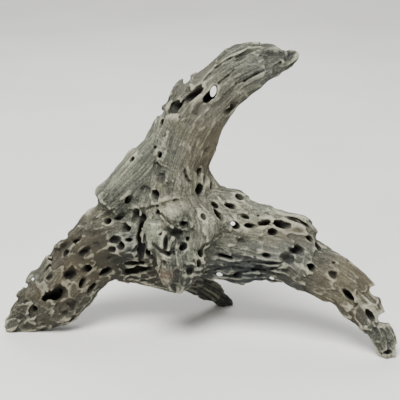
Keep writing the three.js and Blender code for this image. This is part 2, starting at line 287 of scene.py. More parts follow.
@dataclass
class Limb:
    """A swollen tube along a given path.

    A row of path is x, y, z, the half width across the limb and the half depth towards the viewer.
    Flute is the height of its long flutes, scallop and plate those of its worn hollows and loose
    flakes, and splinter that of the fine ridges along its grain. Squareness is the power of its
    oval section: 2 for a round one, more for a boxy one.
    """

    name: str
    phase: float
    flute: float
    scallop: float
    plate: float
    splinter: float
    round_start: bool
    path: tuple[tuple[float, ...], ...]
    squareness: float = 2.0
    blunt_cap: float = 6.0
    steps: int = 12

    def __post_init__(self) -> None:
        """Lay the stations: a uniform Catmull-Rom curve through the rows, cut into steps."""
        rows = np.array(self.path, float)
        padded = np.vstack((2 * rows[0] - rows[1], rows, 2 * rows[-1] - rows[-2]))
        count = self.steps * (len(rows) - 1)
        t = np.arange(count + 1) / self.steps
        gap = np.minimum(t.astype(int), len(rows) - 2)
        t = (t - gap)[:, None]
        a, b, c, d = (padded[gap + i] for i in range(4))
        curve = b + 0.5 * t * (c - a + t * (2 * a - 5 * b + 4 * c - d + t * (3 * (b - c) + d - a)))
        self.centre = curve[:, :3]
        self.wide, self.deep = curve[:, 3], curve[:, 4]
        forward = np.gradient(self.centre, axis=0)
        self.forward = forward / np.linalg.norm(forward, axis=1, keepdims=True)
        front = np.array((0.0, -1.0, 0.0)) + self.forward * self.forward[:, 1:2]
        self.front = front / np.linalg.norm(front, axis=1, keepdims=True)
        self.side = np.cross(self.front, self.forward)
        gaps = np.linalg.norm(np.diff(self.centre, axis=0), axis=1)
        self.along = np.concatenate(((0.0,), np.cumsum(gaps)))
        smaller = np.minimum(self.wide, self.deep)
        self.start_cap = smaller[0] if self.round_start else self.blunt_cap
        self.end_cap = smaller[-1]

    def nearest(self, points: np.ndarray, chunk: int = 60000) -> np.ndarray:
        """The number of the station nearest to each point, found by |c|^2 - 2 p.c."""
        centre = self.centre.astype(np.float32)
        square = (centre**2).sum(axis=1)
        found = np.empty(len(points), np.int32)
        for start in range(0, len(points), chunk):
            part = points[start:start + chunk]
            found[start:start + chunk] = np.argmin(square - 2 * (part @ centre.T), axis=1)
        return found

    def locate(self, points: np.ndarray) -> Located:
        """Place points on the limb, between the nearest station and the next one towards them.

        Args:
            points: Places, one a row.

        Returns:
            Their place on the limb, with how far they lie beyond its ends.
        """
        last = len(self.centre) - 1
        here = self.nearest(points)
        forward = self.forward.astype(np.float32)[here]
        ahead = np.einsum("ij,ij->i", points - self.centre.astype(np.float32)[here], forward)
        there = np.clip(here + np.where(ahead > 0, 1, -1), 0, last)
        stride = np.abs(self.along[there] - self.along[here])
        share = np.clip(np.abs(ahead) / np.maximum(stride, 1e-3), 0, 1) * (there != here)

        def between(values: np.ndarray) -> np.ndarray:
            """Blend a station value between the two stations."""
            weight = share if values.ndim == 1 else share[:, None]
            return (values[here] * (1 - weight) + values[there] * weight).astype(np.float32)

        offset = points - between(self.centre)
        beyond = np.where(there == here, np.abs(ahead), 0).astype(np.float32)
        return Located(
            along=between(self.along),
            side=np.einsum("ij,ij->i", offset, between(self.side)),
            front=np.einsum("ij,ij->i", offset, between(self.front)),
            beyond=beyond,
            wide=between(self.wide),
            deep=between(self.deep),
            cap=np.where(here == 0, self.start_cap, self.end_cap).astype(np.float32),
        )

    def relief(self, along: np.ndarray, angle: np.ndarray) -> np.ndarray:
        """Flutes that wander round the limb: sines of the angle and of the distance along it."""
        return self.flute * sum(
            height * np.sin(turns * angle + run * (along / FLUTE_RUN) + shift * self.phase)
            for height, turns, run, shift in FLUTES
        )

    def distance(self, at: Located) -> np.ndarray:
        """The distance to the fluted limb.

        With r the distance to the middle and q the same over the half sizes, r (1 - 1 / q) is the
        distance to the oval skin in the direction of the point. The flutes are taken from it.
        """
        power = self.squareness
        radius = np.sqrt(at.side**2 + at.front**2 + at.beyond**2) + 1e-3
        parts = (at.side / at.wide, at.front / at.deep, at.beyond / at.cap)
        oval = sum(np.abs(part) ** power for part in parts) + 1e-4
        angle = np.arctan2(at.front / at.deep, at.side / at.wide)
        return radius * (1 - oval ** (-1 / power)) - self.relief(at.along, angle)

    def station_at(self, along: float) -> int:
        """The number of the first station at or past a distance along the limb."""
        return min(int(np.searchsorted(self.along, along)), len(self.along) - 1)


LIMBS = (
    Limb(
        "root", phase=0.0, flute=1.5, scallop=3.8, plate=1.8, splinter=0.7, round_start=True,
        path=(
            (-246, -10, 9, 13, 10), (-226, -9, 21, 25, 15), (-210, -7, 32, 37, 20),
            (-187, -1, 50, 42, 28), (-164, 5, 75, 40, 31), (-139, 11, 99, 43, 34),
            (-108, 15, 113, 50, 37), (-64, 14, 123, 53, 42), (-15, 8, 128, 56, 43),
            (28, 1, 127, 57, 41), (69, -9, 121, 48, 38), (104, -21, 115, 42, 35),
            (132, -33, 103, 33, 31), (160, -47, 92, 29, 26), (186, -62, 77, 27, 21),
            (207, -74, 56, 23, 16), (223, -84, 31, 15, 12), (231, -90, 5, 11, 9),
        ),
    ),
    Limb(
        "stem", phase=1.3, flute=1.1, scallop=0.9, plate=1.4, splinter=0.9, round_start=False,
        path=(
            (-61, 15, 128, 48, 40), (-49, 12, 164, 50, 43), (-39, 9, 199, 48, 42),
            (-32, 8, 228, 42, 39), (-19, 5, 266, 39, 36), (1, 1, 300, 38, 32),
            (16, -2, 316, 34, 29), (29, -4, 329, 31, 27), (43, -5, 341, 30, 25),
            (58, -6, 349, 29, 23), (72, -6, 355, 26, 20), (84, -5, 357, 22, 17),
            (94, -4, 357, 17, 14), (102, -2, 358, 12, 11), (107, -1, 361, 10, 9),
            (110, 0, 363, 9, 8),
        ),
    ),
    Limb(
        "brow", phase=2.6, flute=1.8, scallop=4.4, plate=1.6, splinter=0.5, round_start=False,
        path=(
            (-35, -12, 172, 34, 26), (-27, -30, 152, 46, 30), (-30, -38, 126, 35, 24),
            (-27, -36, 99, 32, 24), (-30, -34, 81, 19, 16),
        ),
    ),
    Limb(
        "shoulder", phase=3.9, flute=0.3, scallop=0.6, plate=0.9, splinter=1.0, round_start=False,
        path=(
            (-117, 4, 175, 21, 24), (-95, 4, 198, 24, 28), (-73, 6, 221, 22, 30),
            (-53, 8, 245, 19, 28), (-35, 8, 271, 15, 24),
        ),
        squareness=2.5,
    ),
    Limb(
        "spur", phase=5.2, flute=1.0, scallop=0.5, plate=2.2, splinter=2.4, round_start=False,
        path=(
            (-95, 22, 86, 27, 24), (-55, 36, 64, 21, 22), (-16, 54, 46, 15, 15),
            (13, 68, 23, 12, 10), (26, 74, 8, 9, 8), (36, 79, 2, 5, 5),
        ),
    ),
)


@dataclass(frozen=True)
class Swelling:
    """A soft swelling of the skin, or a hollow where height is negative, laid in the view."""

    across: float
    up: float
    y: float
    reach: float
    height: float

    def height_at(self, points: np.ndarray) -> np.ndarray:
        """The height that it adds: height * exp(-d^2 / reach^2)."""
        centre = VIEW.place_at(self.across, self.up, self.y).astype(points.dtype)
        square = ((points - centre) ** 2).sum(axis=1)
        return self.height * np.exp(-square / self.reach**2)


SWELLINGS = {
    "collar": Swelling(14, 20, 2, 14, 11),
    "shoulder foot": Swelling(-121, 2, 5, 15, 5),
    "flake": Swelling(-42, 116, 3, 22, 5),
    "saddle": Swelling(50, 3, -3, 24, 9),
    "ledge": Swelling(104, -20, -22, 24, 5),
    "ledge end": Swelling(135, -31, -32, 20, 15),
    "hip": Swelling(-137, -21, 12, 27, 7),
    "nose": Swelling(-35, -16, -62, 17, 10),
    "left lobe": Swelling(-56, -41, -52, 20, 9),
    "right lobe": Swelling(15, -33, -42, 20, 11),
    "lower lobe": Swelling(-40, -90, -55, 18, 7),
    "brow hollow": Swelling(-16, -48, -60, 14, -11),
    "flap": Swelling(47, -102, -14, 13, 8),
    "shoulder knob": Swelling(-88, 60, 6, 7, 6),
    "hip knob": Swelling(-142, -16, 6, 9, 5),
}


@dataclass(frozen=True)
class Ovoid:
    """An ellipsoid laid in the view and rolled there in degrees."""

    across: float
    up: float
    y: float
    half_across: float
    half_up: float
    half_into: float
    roll: float


BITES = {
    "shin upper": Ovoid(225, -117, -68, 9, 6, 26, -20),
    "shin lower": Ovoid(235, -150, -78, 11, 7, 26, 0),
    "arm notch": Ovoid(-17, 154, 0, 6, 3.2, 26, 45),
    "arm notch low": Ovoid(-50, 112, 3, 5, 2.8, 26, 50),
    "leg notch": Ovoid(-174, -48, 4, 4.5, 2.6, 26, 30),
    "foot notch": Ovoid(-224, -110, -8, 4.5, 2.6, 26, 30),
    "toe notch": Ovoid(-237, -127, -9, 5, 2.6, 26, 20),
    "ledge notch": Ovoid(152, -49, -36, 4, 2.6, 26, -60),
}
CHIPS = {
    "arm splinter": Ovoid(-4.5, 156, 1, 11, 2.6, 6, 50),
    "arm flake": Ovoid(-31, 142, 2, 15, 4.5, 7, 57),
    "arm low flake": Ovoid(-54, 100, 4, 11, 3.6, 6, 66),
    "arm top flake": Ovoid(44, 195, -3, 14, 3.4, 6, 20),
    "stub": Ovoid(105, 184, -4, 8, 7, 8, -20),
    "collar tooth": Ovoid(15, 26, 2, 6, 3, 5, 80),
    "nose flake": Ovoid(-36, -19, -59, 15, 9, 8, -5),
    "left lobe": Ovoid(-61, -42, -50, 14, 22, 11, -10),
    "right lobe": Ovoid(8, -46, -44, 21, 12, 9, 36),
    "lower lobe": Ovoid(-42, -88, -54, 12, 20, 9, 8),
    "leg chip high": Ovoid(-166, -48, 5, 9, 3.5, 8, 40),
    "leg chip": Ovoid(-178, -57, 2, 11, 4.5, 9, 30),
    "leg ring": Ovoid(-213, -99, -6, 13, 7.5, 8, 48),
    "foot chip high": Ovoid(-227, -119, -8, 11, 5, 9, 38),
    "foot chip": Ovoid(-229, -134, -9, 12, 4, 9, 30),
    "ledge tip": Ovoid(141, -36, -32, 11, 5, 8, -35),
    "rib flap": Ovoid(50, -101, -12, 10, 6, 6, -35),
    "rib edge": Ovoid(94, -103, -17, 10, 2.4, 5, -10),
    "spur tip": Ovoid(33, -131, 77, 10, 3.4, 5, -38),
    "spur tail": Ovoid(37, -128, 75, 8, 2.0, 3, -50),
    "spur thorn": Ovoid(6, -124, 64, 7, 2.2, 4, 12),
}


class Hollow(Enum):
    """The kinds of hollow in the wood.

    A row is the width that rounds the rim, the share of the short side that the wall bends by, and
    the most that it bends. Widths are in millimetres.
    """

    BORE = (0.9, 0.15, 1.6)
    BASIN = (3.0, 0.3, 10.0)
    CAVE = (2.0, 0.15, 1.6)
    WINDOW = (1.0, 1.0, 0.5)

    def __init__(self, rim: float, bend_share: float, most_bend: float) -> None:
        """Name the three parts of a row."""
        self.rim = rim
        self.bend_share = bend_share
        self.most_bend = most_bend


@dataclass
class Mouth:
    """Where a hollow starts, the direction it goes in, the grain there, and its size and kind.

    The size is its long side, short side, depth and any turn from the grain in degrees.
    """

    place: np.ndarray
    inward: np.ndarray
    grain: np.ndarray
    size: tuple[float, ...]
    kind: Hollow


# Hollows that the front shows: millimetres across and up in the view, the long side of the mouth,
# its short side, the depth, and the turn of the long side from the grain in degrees, if any.
BORES = {
    "arm window well": (11, 131, 21, 11, 22),
    "arm slot": (-9, 136, 31, 9, 16),
    "arm left hollow": (-33, 118, 20, 13, 14),
    "arm right bore": (44, 120, 10, 9, 18),
    "arm right bore low": (36, 112, 11, 9, 9),
    "arm top slit": (59, 189, 34, 5, 5),
    "arm top slit low": (51, 181, 14, 4, 4),
    "arm low flake": (-50, 98, 12, 6, 9),
    "arm foot bore": (-1, 36, 11, 7, 20),
    "tip pin": (103, 176, 4.5, 4, 5),
    "shoulder notch": (-88, 52, 9, 6, 9),
    "trunk upper bore": (-52, 58, 8, 6, 14),
    "trunk pin": (-58, 67, 5, 4, 6),
    "shoulder bore": (-91, 0, 10, 9, 16),
    "trunk bore": (-58, 6, 15, 10, 20, 60),
    "under flake": (-31, 0, 9, 3, 4, 80),
    "throat": (-1, 12, 15, 11, 17),
    "collar slot": (15, 18, 11, 5, 10),
    "gap roof": (-82, -18, 19, 9, 15),
    "gap": (-76, -32, 23, 10, 30, 75),
    "brow arch": (-53, -19, 14, 8, 15, 90),
    "brow eye": (-21, -31, 11, 8, 18, 70),
    "brow side recess": (5, -21, 9, 7, 7),
    "brow pin": (-15, -50, 6, 5, 10),
    "brow slit": (-45, -56, 18, 5, 12),
    "brow cave": (-22, -59, 12, 11, 12),
    "brow right cave": (2, -68, 11, 9, 18),
    "brow right low": (-1, -81, 9, 6, 12),
    "brow low slit": (-46, -80, 8, 3.5, 4),
    "brow round bore": (-12, -89, 10, 9, 12),
    "neck slot": (24, -18, 21, 8, 24, -50),
    "neck slot top": (19, -6, 11, 6, 11, -40),
    "neck oval": (40, -7, 15, 6, 14, -10),
    "neck hollow": (46, -31, 12, 10, 16, -30),
    "root slot": (-102, -21, 12, 6, 12),
    "root bore": (-119, -27, 10, 7, 14),
    "leg bore high": (-95, -36, 12, 11, 18),
    "leg bore mid": (-108, -51, 12, 10, 11),
    "leg bore low": (-102, -59, 12, 10, 13),
    "leg pin": (-91, -51, 8, 5, 10),
    "leg cave": (-74, -62, 12, 9, 22, 60),
    "leg small bore": (-113, -64, 10, 8, 6),
    "leg slit": (-174, -59, 8, 4, 4),
    "leg long slot": (-84, -82, 24, 8, 24, -15),
    "leg rim bore": (-121, -92, 14, 9, 16),
    "leg wedge bore": (-145, -89, 14, 10, 16),
    "leg round bore": (-166, -94, 15, 13, 12),
    "leg rim slot": (-150, -106, 15, 7, 14, 15),
    "leg rim slot low": (-139, -114, 16, 7, 14, 10),
    "leg curved slot": (-149, -67, 16, 8, 8),
    "leg pocket": (-157, -50, 11, 9, 13),
    "leg oval": (-172, -67, 10, 8, 9),
    "leg edge slit": (-196, -87, 12, 5, 9),
    "leg small oval": (-193, -97, 9, 7, 8),
    "cavern": (-181, -118, 19, 15, 32),
    "cavern floor": (-184, -126, 12, 10, 24),
    "cavern horn": (-195, -122, 14, 8, 15, 10),
    "foot pit": (-213, -140, 10, 8, 12),
    "foot slot": (-163, -152, 9, 6, 10),
    "foot notch": (-224, -130, 6, 5, 4),
    "rim bore": (51, 5, 12, 9, 11),
    "crescent": (57, -21, 11, 5, 9),
    "ledge pin": (74, -20, 4, 3, 5),
    "ledge slot": (64, -32, 15, 6, 15, 10),
    "long slot": (82, -29, 17, 7, 15, 20),
    "great slot": (105, -31, 19, 10, 16, 5),
    "lower slot": (93, -40, 12, 8, 12, 10),
    "edge slot": (120, -24, 19, 6, 9),
    "ragged pit": (141, -49, 14, 8, 10),
    "edge slot low": (152, -61, 15, 8, 13),
    "twin bore": (111, -74, 15, 13, 13, 20),
    "twin bore upper": (126, -64, 12, 10, 15),
    "twin bridge": (117, -65, 8, 7, 8),
    "rim window": (143, -86, 12, 9, 16),
    "heel crescent": (170, -95, 12, 8, 7),
    "heel pin": (171, -80, 4, 4, 5),
    "under recess": (75, -88, 14, 8, 10),
    "under recess small": (85, -71, 10, 6, 9),
    "under bore": (48, -96, 11, 11, 15),
    "flap crevice": (32, -73, 19, 5, 12),
    "shin slot": (190, -122, 19, 8, 17),
    "ankle slot": (218, -148, 18, 8, 14),
    "toe hollow": (241, -195, 9, 5, 7, 80),
}
BASINS = {
    "arm flake hollow": (-20, 137, 16, 10, 4),
    "arm scallop": (8, 61, 9, 6, 3),
    "trunk recess high": (-55, 42, 13, 10, 2.8),
    "trunk recess low": (-50, 28, 13, 11, 3),
    "trunk recess side": (-70, 13, 11, 8, 3),
    "trunk recess": (-41, 15, 14, 12, 4, 20),
    "brow recess": (-29, -46, 40, 22, 6, 85),
    "brow low recess": (-35, -67, 11, 9, 5),
    "leg basin high": (-136, -59, 13, 10, 4),
    "leg basin low": (-157, -76, 19, 13, 4),
    "foot basin": (-182, -137, 14, 9, 3.5),
    "foot basin low": (-174, -145, 9, 6, 3),
    "foot basin right": (-168, -137, 16, 15, 3),
    "heel basin": (156, -74, 20, 14, 4),
    "neck groove": (56, -51, 20, 7, 4),
}
CAVES = {
    "beside the brow": (-75, -54, 54, 11, 24, 80),
    "under the brow's side": (-80, -90, 34, 14, 16),
}
WINDOWS = {
    "arm window": (17, 139, 15, 8, 110, 30),
    "neck window": (42, -30, 7, 6, 130),
    "under window": (25, -95, 9, 5, 130),
    "ring window": (-214, -101, 5, 4, 60),
    "rib window": (92, -100, 7, 3, 60),
}

# Open cracks: half width, depth, then the across and up of each turn.
CRACKS = {
    "arm upper": (1.3, 8, 21, 146, 27, 152, 37, 160, 45, 168),
    "arm lower": (1.2, 7, 38, 136, 43, 142, 46, 149, 56, 152, 69, 160, 81, 165, 94, 172, 103, 177),
    "arm left": (1.6, 7, -18, 130, -24, 122, -31, 114),
    "throat": (2.4, 10, -20, 42, -18, 30, -14, 24, -6, 20),
    "collar": (1.6, 8, 8, 40, 6, 31, 5, 21),
    "brow ledge": (1.4, 6, -74, -18, -67, -12, -59, -8, -48, -6),
    "brow gap": (6.0, 24, -71, -44, -71, -56, -65, -67, -57, -79, -57, -90),
    "brow gap high": (4.0, 15, -74, -12, -71, -26, -74, -38),
    "left lobe lip": (3.0, 11, -62, -55, -51, -65, -40, -69, -31, -64),
    "right lobe lip": (2.2, 9, -10, -63, -2, -67, 6, -58, 15, -54, 20, -47, 28, -44),
    "nose lip": (1.6, 8, -58, -20, -50, -17, -44, -24, -38, -31, -28, -33),
    "lower lobe lip": (1.8, 8, -52, -70, -49, -80, -52, -92, -57, -104),
    "neck splinter high": (1.6, 9, 16, 8, 24, -2, 36, -16, 44, -26),
    "neck splinter low": (1.4, 7, 22, 10, 34, -4, 48, -14),
    "under rib": (2.4, 11, 6, -92, 24, -88, 42, -85, 60, -88, 84, -89, 106, -84),
    "arm top": (1.6, 7, 2, 150, 14, 163, 28, 176, 44, 184),
    "leg": (1.4, 8, -108, -69, -116, -74, -125, -80),
    "rib upper": (2.2, 9, 8, -79, 31, -83, 62, -79, 94, -81, 112, -79),
    "rib lower": (2.2, 9, 40, -94, 62, -91, 92, -87),
    "ledge rim": (1.8, 7, 106, -21, 124, -24, 142, -36),
}
# Round grooves, and ridges where the depth is negative, laid like the cracks.
FOLDS = {
    "arm groove": (5, 5, 9, 129, -1, 118, -11, 102, -19, 91),
    "stub neck": (2.5, 1.5, 103, 190, 106, 184, 110, 176),
    "leg furrow": (3.5, 3.5, -152, -40, -136, -44, -120, -37, -100, -32),
    "neck valley": (7, 5, 24, -35, 44, -50, 62, -56),
    "brow ridge": (4, -3, -108, -13, -69, -7, -50, 0, -25, 2),
}


@dataclass(frozen=True)
class Scatter:
    """Bores on the sides that the front doesn't show, spread evenly by two irrational steps.

    Counts is how many each limb has. They lie round it within spread degrees, half of it each way
    from around, and their short sides go from widest down to the range below it.
    """

    counts: dict[str, int]
    widest: float
    spread: float
    around: float
    size_range: float = 6.0
    long_share: float = 1.35
    deep_share: float = 1.2
    angle_step: float = 0.7549
    size_step: float = 0.5698


BACK = (
    Scatter({"root": 13, "stem": 7, "shoulder": 2, "spur": 1}, 13, 130, 270),
    Scatter({"root": 46, "stem": 26, "shoulder": 8, "spur": 8}, 8, 215, 262),
)

# Soft spots in the view: across, up, half across, half up and strength. They make the skin ragged
# or smooth, lay ribs and growth rings, lay tints, painted shade and painted highlights on it, and
# dull its pale rims.
RAGGED_SPOTS = (
    (-42, 125, 32, 36, 1.1),
    (-200, -85, 48, 42, 0.9),
    (-215, -135, 30, 25, 0.8),
    (150, -42, 30, 26, 0.8),
    (-75, 62, 24, 16, 0.8),
    (20, 185, 50, 14, 0.6),
    (232, -130, 26, 36, 0.6),
)
SMOOTH_SPOTS = (
    (32, 105, 40, 58, 0.85),
    (-95, 32, 36, 38, 0.85),
    (-36, 38, 26, 26, 0.75),
    (195, -85, 40, 30, 0.7),
    (60, 165, 40, 20, 0.35),
    (95, -52, 40, 14, 0.5),
    (-128, -60, 44, 34, 0.45),
)
RIB_SPOT = (52, -90, 66, 20, 2.2)
RING_SPOT = (-42, 34, 30, 34, 0.5)
# Spots that lighten or darken the wood. The darker ones under the ribs, under the lower lobe, under
# the brow's side, on the left foot and in the brow's recess are painted shade; the paler ones on
# the brow's lobes and nose are painted highlights. The rest make the wood lighter or darker.
TONE_AND_SHADE_SPOTS = (
    (-95, 55, 40, 45, 0.15),
    (60, -95, 66, 18, -0.46),
    (-42, -100, 40, 18, -0.25),
    (-95, -85, 40, 20, -0.3),
    (-140, -72, 50, 40, -0.56),
    (-200, -135, 50, 26, -0.4),
    (107, 184, 10, 10, -0.2),
    (60, 165, 40, 26, 0.1),
    (-62, -45, 12, 20, 0.15),
    (-42, -88, 14, 16, 0.12),
    (-30, -46, 10, 18, -0.3),
    (80, -20, 55, 26, 0.2),
    (-25, 22, 36, 30, 0.16),
    (-50, -32, 16, 14, 0.22),
    (-38, -10, 22, 9, 0.25),
    (14, -34, 14, 16, 0.16),
    (215, -140, 42, 44, -0.34),
)
TAN_SPOTS = (
    (-170, -90, 60, 55, 0.36),
    (10, 80, 40, 70, 0.5),
    (180, -110, 50, 50, 0.5),
    (122, -44, 30, 14, 0.45),
)
BLUE_SPOTS = (
    (60, -90, 60, 25, 0.5),
    (105, -66, 40, 18, 0.35),
    (90, 160, 30, 25, 0.4),
)
RED_SPOT = (-44, -96, 9, 6, 0.28)
DULL_SPOTS = (
    (-165, -95, 62, 60, 0.36),
    (60, -95, 66, 20, 0.3),
)
# Tints: their spots, and the seed, the width and the share of the patches that lie all round.
TINTS = {
    "tan": (TAN_SPOTS, Seed.TAN, 48, 0.3),
    "blue": (BLUE_SPOTS, Seed.BLUE, 42, 0.5),
}


def spots(across: np.ndarray, up: np.ndarray, *table: tuple[float, ...]) -> np.ndarray:
    """Soft spots in the view: the sum of exp of minus the squared offset over the half sizes.

    Args:
        across: How far across the view each place is seen.
        up: How far up.
        *table: Across, up, half across, half up and strength of each spot.

    Returns:
        The strength at each place.
    """
    return sum(
        strength * np.exp(-(((across - x) / half_across) ** 2) - ((up - y) / half_up) ** 2)
        for x, y, half_across, half_up, strength in table
    )


def before(points: np.ndarray, y: float, width: float) -> np.ndarray:
    """A share that goes from 1 in front of y to 0 behind it: 1 / (1 + exp((py - y) / width))."""
    return 1 / (1 + np.exp((points[:, 1] - y) / width))


@dataclass
class Field:
    """A distance in millimetres at the corners of a grid of cells, negative inside the wood."""

    lowest: np.ndarray
    cell: float
    values: np.ndarray

    @property
    def shape(self) -> tuple[int, ...]:
        """The number of grid points along x, y and z."""
        return self.values.shape

    def copy(self) -> "Field":
        """The same distance, apart from this one."""
        return Field(self.lowest, self.cell, self.values.copy())

    def places(self, numbers: np.ndarray) -> np.ndarray:
        """The places of grid points, given by their number in the flat grid."""
        steps = np.stack(np.unravel_index(numbers, self.shape), axis=1)
        return (self.lowest + self.cell * steps).astype(np.float32)

    def sample(self, points: np.ndarray) -> np.ndarray:
        """The distance at any places, blended from the eight grid points round each."""
        steps = (points - self.lowest) / self.cell
        steps = np.clip(steps, 0, np.array(self.shape) - 1.001)
        corner = steps.astype(np.int32)
        t = steps - corner
        total = np.zeros(len(points), np.float32)
        for step in np.ndindex(2, 2, 2):
            weight = np.prod(np.where(step, t, 1 - t), axis=1)
            at = corner + step
            total += weight * self.values[at[:, 0], at[:, 1], at[:, 2]]
        return total

    def window(self, centre: np.ndarray, reach: float) -> tuple[tuple[slice, ...], np.ndarray]:
        """The block of the grid round a place.

        Args:
            centre: The middle of the block.
            reach: How far the block goes each way.

        Returns:
            The block's slices of the grid, and its places, one a row.
        """
        low = np.floor((centre - reach - self.lowest) / self.cell).astype(int)
        high = np.ceil((centre + reach - self.lowest) / self.cell).astype(int)
        low = np.clip(low, 0, self.shape)
        high = np.clip(high, 0, self.shape)
        block = tuple(slice(a, b) for a, b in zip(low, high))
        axes = [self.lowest[i] + self.cell * np.arange(low[i], high[i]) for i in range(3)]
        grid = np.stack(np.meshgrid(*axes, indexing="ij"), axis=-1)
        return block, grid.reshape(-1, 3)

    def finer(self, times: int) -> "Field":
        """The same distance on a grid that is some times finer, blended along each axis in turn."""
        values = self.values
        for axis in range(3):
            count = (values.shape[axis] - 1) * times + 1
            steps = np.arange(count) / times
            corner = np.minimum(steps.astype(int), values.shape[axis] - 2)
            shape = [1, 1, 1]
            shape[axis] = -1
            t = (steps - corner).astype(np.float32).reshape(shape)
            below = np.take(values, corner, axis=axis)
            values = below + t * (np.take(values, corner + 1, axis=axis) - below)
        return Field(self.lowest, self.cell / times, values)

    def blurred(self, reach: int) -> "Field":
        """The distance averaged over a cube of cells, by running sums along each axis."""
        values = self.values
        for axis in range(3):
            pad = [(0, 0)] * 3
            pad[axis] = (reach + 1, reach)
            total = np.cumsum(np.pad(values, pad, mode="edge"), axis=axis, dtype=np.float64)
            width = 2 * reach + 1
            count = values.shape[axis]
            ahead = np.take(total, np.arange(width, width + count), axis=axis)
            values = ((ahead - np.take(total, np.arange(count), axis=axis)) / width)
            values = values.astype(np.float32)
        return Field(self.lowest, self.cell, values)

    def meet(self, start: np.ndarray, direction: np.ndarray, reach: float) -> np.ndarray | None:
        """The first place where a line goes into the wood.

        Args:
            start: Where the line starts.
            direction: Its direction, of length 1.
            reach: Its length.

        Returns:
            The place, or None if the line misses the wood.
        """
        steps = np.arange(0, reach, 0.5 * self.cell)
        depths = self.sample(start + steps[:, None] * direction)
        inside = np.flatnonzero(depths < 0)
        if len(inside) == 0 or inside[0] == 0:
            return None
        i = inside[0]
        share = depths[i - 1] / (depths[i - 1] - depths[i])
        return start + direction * (steps[i - 1] + share * (steps[i] - steps[i - 1]))

    def seen(self, across: float, up: float) -> np.ndarray | None:
        """The first place of the wood that is seen at a place in the view, or None."""
        start = VIEW.place_at(across, up, VIEW.near_y)
        return self.meet(start, VIEW.sight(across, up), VIEW.sight_reach)


@dataclass(frozen=True)
class Finish:
    """What every finish does: turn a colour to linear, start a material and add a node."""

    @staticmethod
    def linear(hex_colour: str) -> tuple[float, float, float, float]:
        """The linear colour of an sRGB hex value: ((c + 0.055) / 1.055)^2.4 above 0.04045."""
        parts = [int(hex_colour[i:i + 2], 16) / 255 for i in (1, 3, 5)]
        bent = [c / 12.92 if c <= 0.04045 else ((c + 0.055) / 1.055) ** 2.4 for c in parts]
        return (*bent, 1.0)

    @staticmethod
    def add(tree: bpy.types.NodeTree, kind: str, inputs: dict[Any, Any] | None = None,
            **settings: Any) -> bpy.types.Node:
        """Add a node.

        Args:
            tree: The material's node tree.
            kind: The node's type.
            inputs: Socket names or numbers, each with a value, or with the socket or the node that
                feeds it. A node feeds it from its first output in use.
            **settings: Properties of the node; stops gives a colour ramp its places and colours.

        Returns:
            The new node.
        """
        node = tree.nodes.new(kind)
        stops = settings.pop("stops", None)
        for name, value in settings.items():
            setattr(node, name, value)
        for socket, value in (inputs or {}).items():
            if isinstance(value, bpy.types.Node):
                value = next(output for output in value.outputs if output.enabled)
            if isinstance(value, bpy.types.NodeSocket):
                tree.links.new(value, node.inputs[socket])
            else:
                node.inputs[socket].default_value = value
        if stops:
            elements = node.color_ramp.elements
            while len(elements) < len(stops):
                elements.new(0.5)
            for element, (place, colour) in zip(elements, stops):
                element.position = place
                element.color = colour
        return node

    def blank(self, name: str) -> tuple[bpy.types.Material, Callable[..., bpy.types.Node]]:
        """An empty material, and the function that adds a node to it."""
        material = bpy.data.materials.new(name)
        material.use_nodes = True
        material.node_tree.nodes.clear()
        return material, partial(self.add, material.node_tree)


@dataclass(frozen=True)
class Pattern:
    """Noise in the wood, long and wide in millimetres, along the grain or the same all ways."""

    name: str
    follows_grain: bool
    long: float
    wide: float
    detail: float
    roughness: float
    share: float


@dataclass(frozen=True)
class Layer:
    """A colour laid over the last where a mask shows it.

    The mask from low to high gives a share from 0 to most. The pattern from begin to end gives a
    share from least to full. Their product is how much of the colour shows.
    """

    mask: str
    low: float
    high: float
    most: float
    pattern: str
    begin: float
    end: float
    least: float
    full: float
    colour: str


# The piece's attributes for its colours and its painted shade, and what their three parts are.
MASKS = {
    "wear_and_shade": ("depth", "crest", "tone"),
    "tint_and_shade": ("tan", "blue", "dark"),
    "mark": ("red", "brown", "rim"),
}


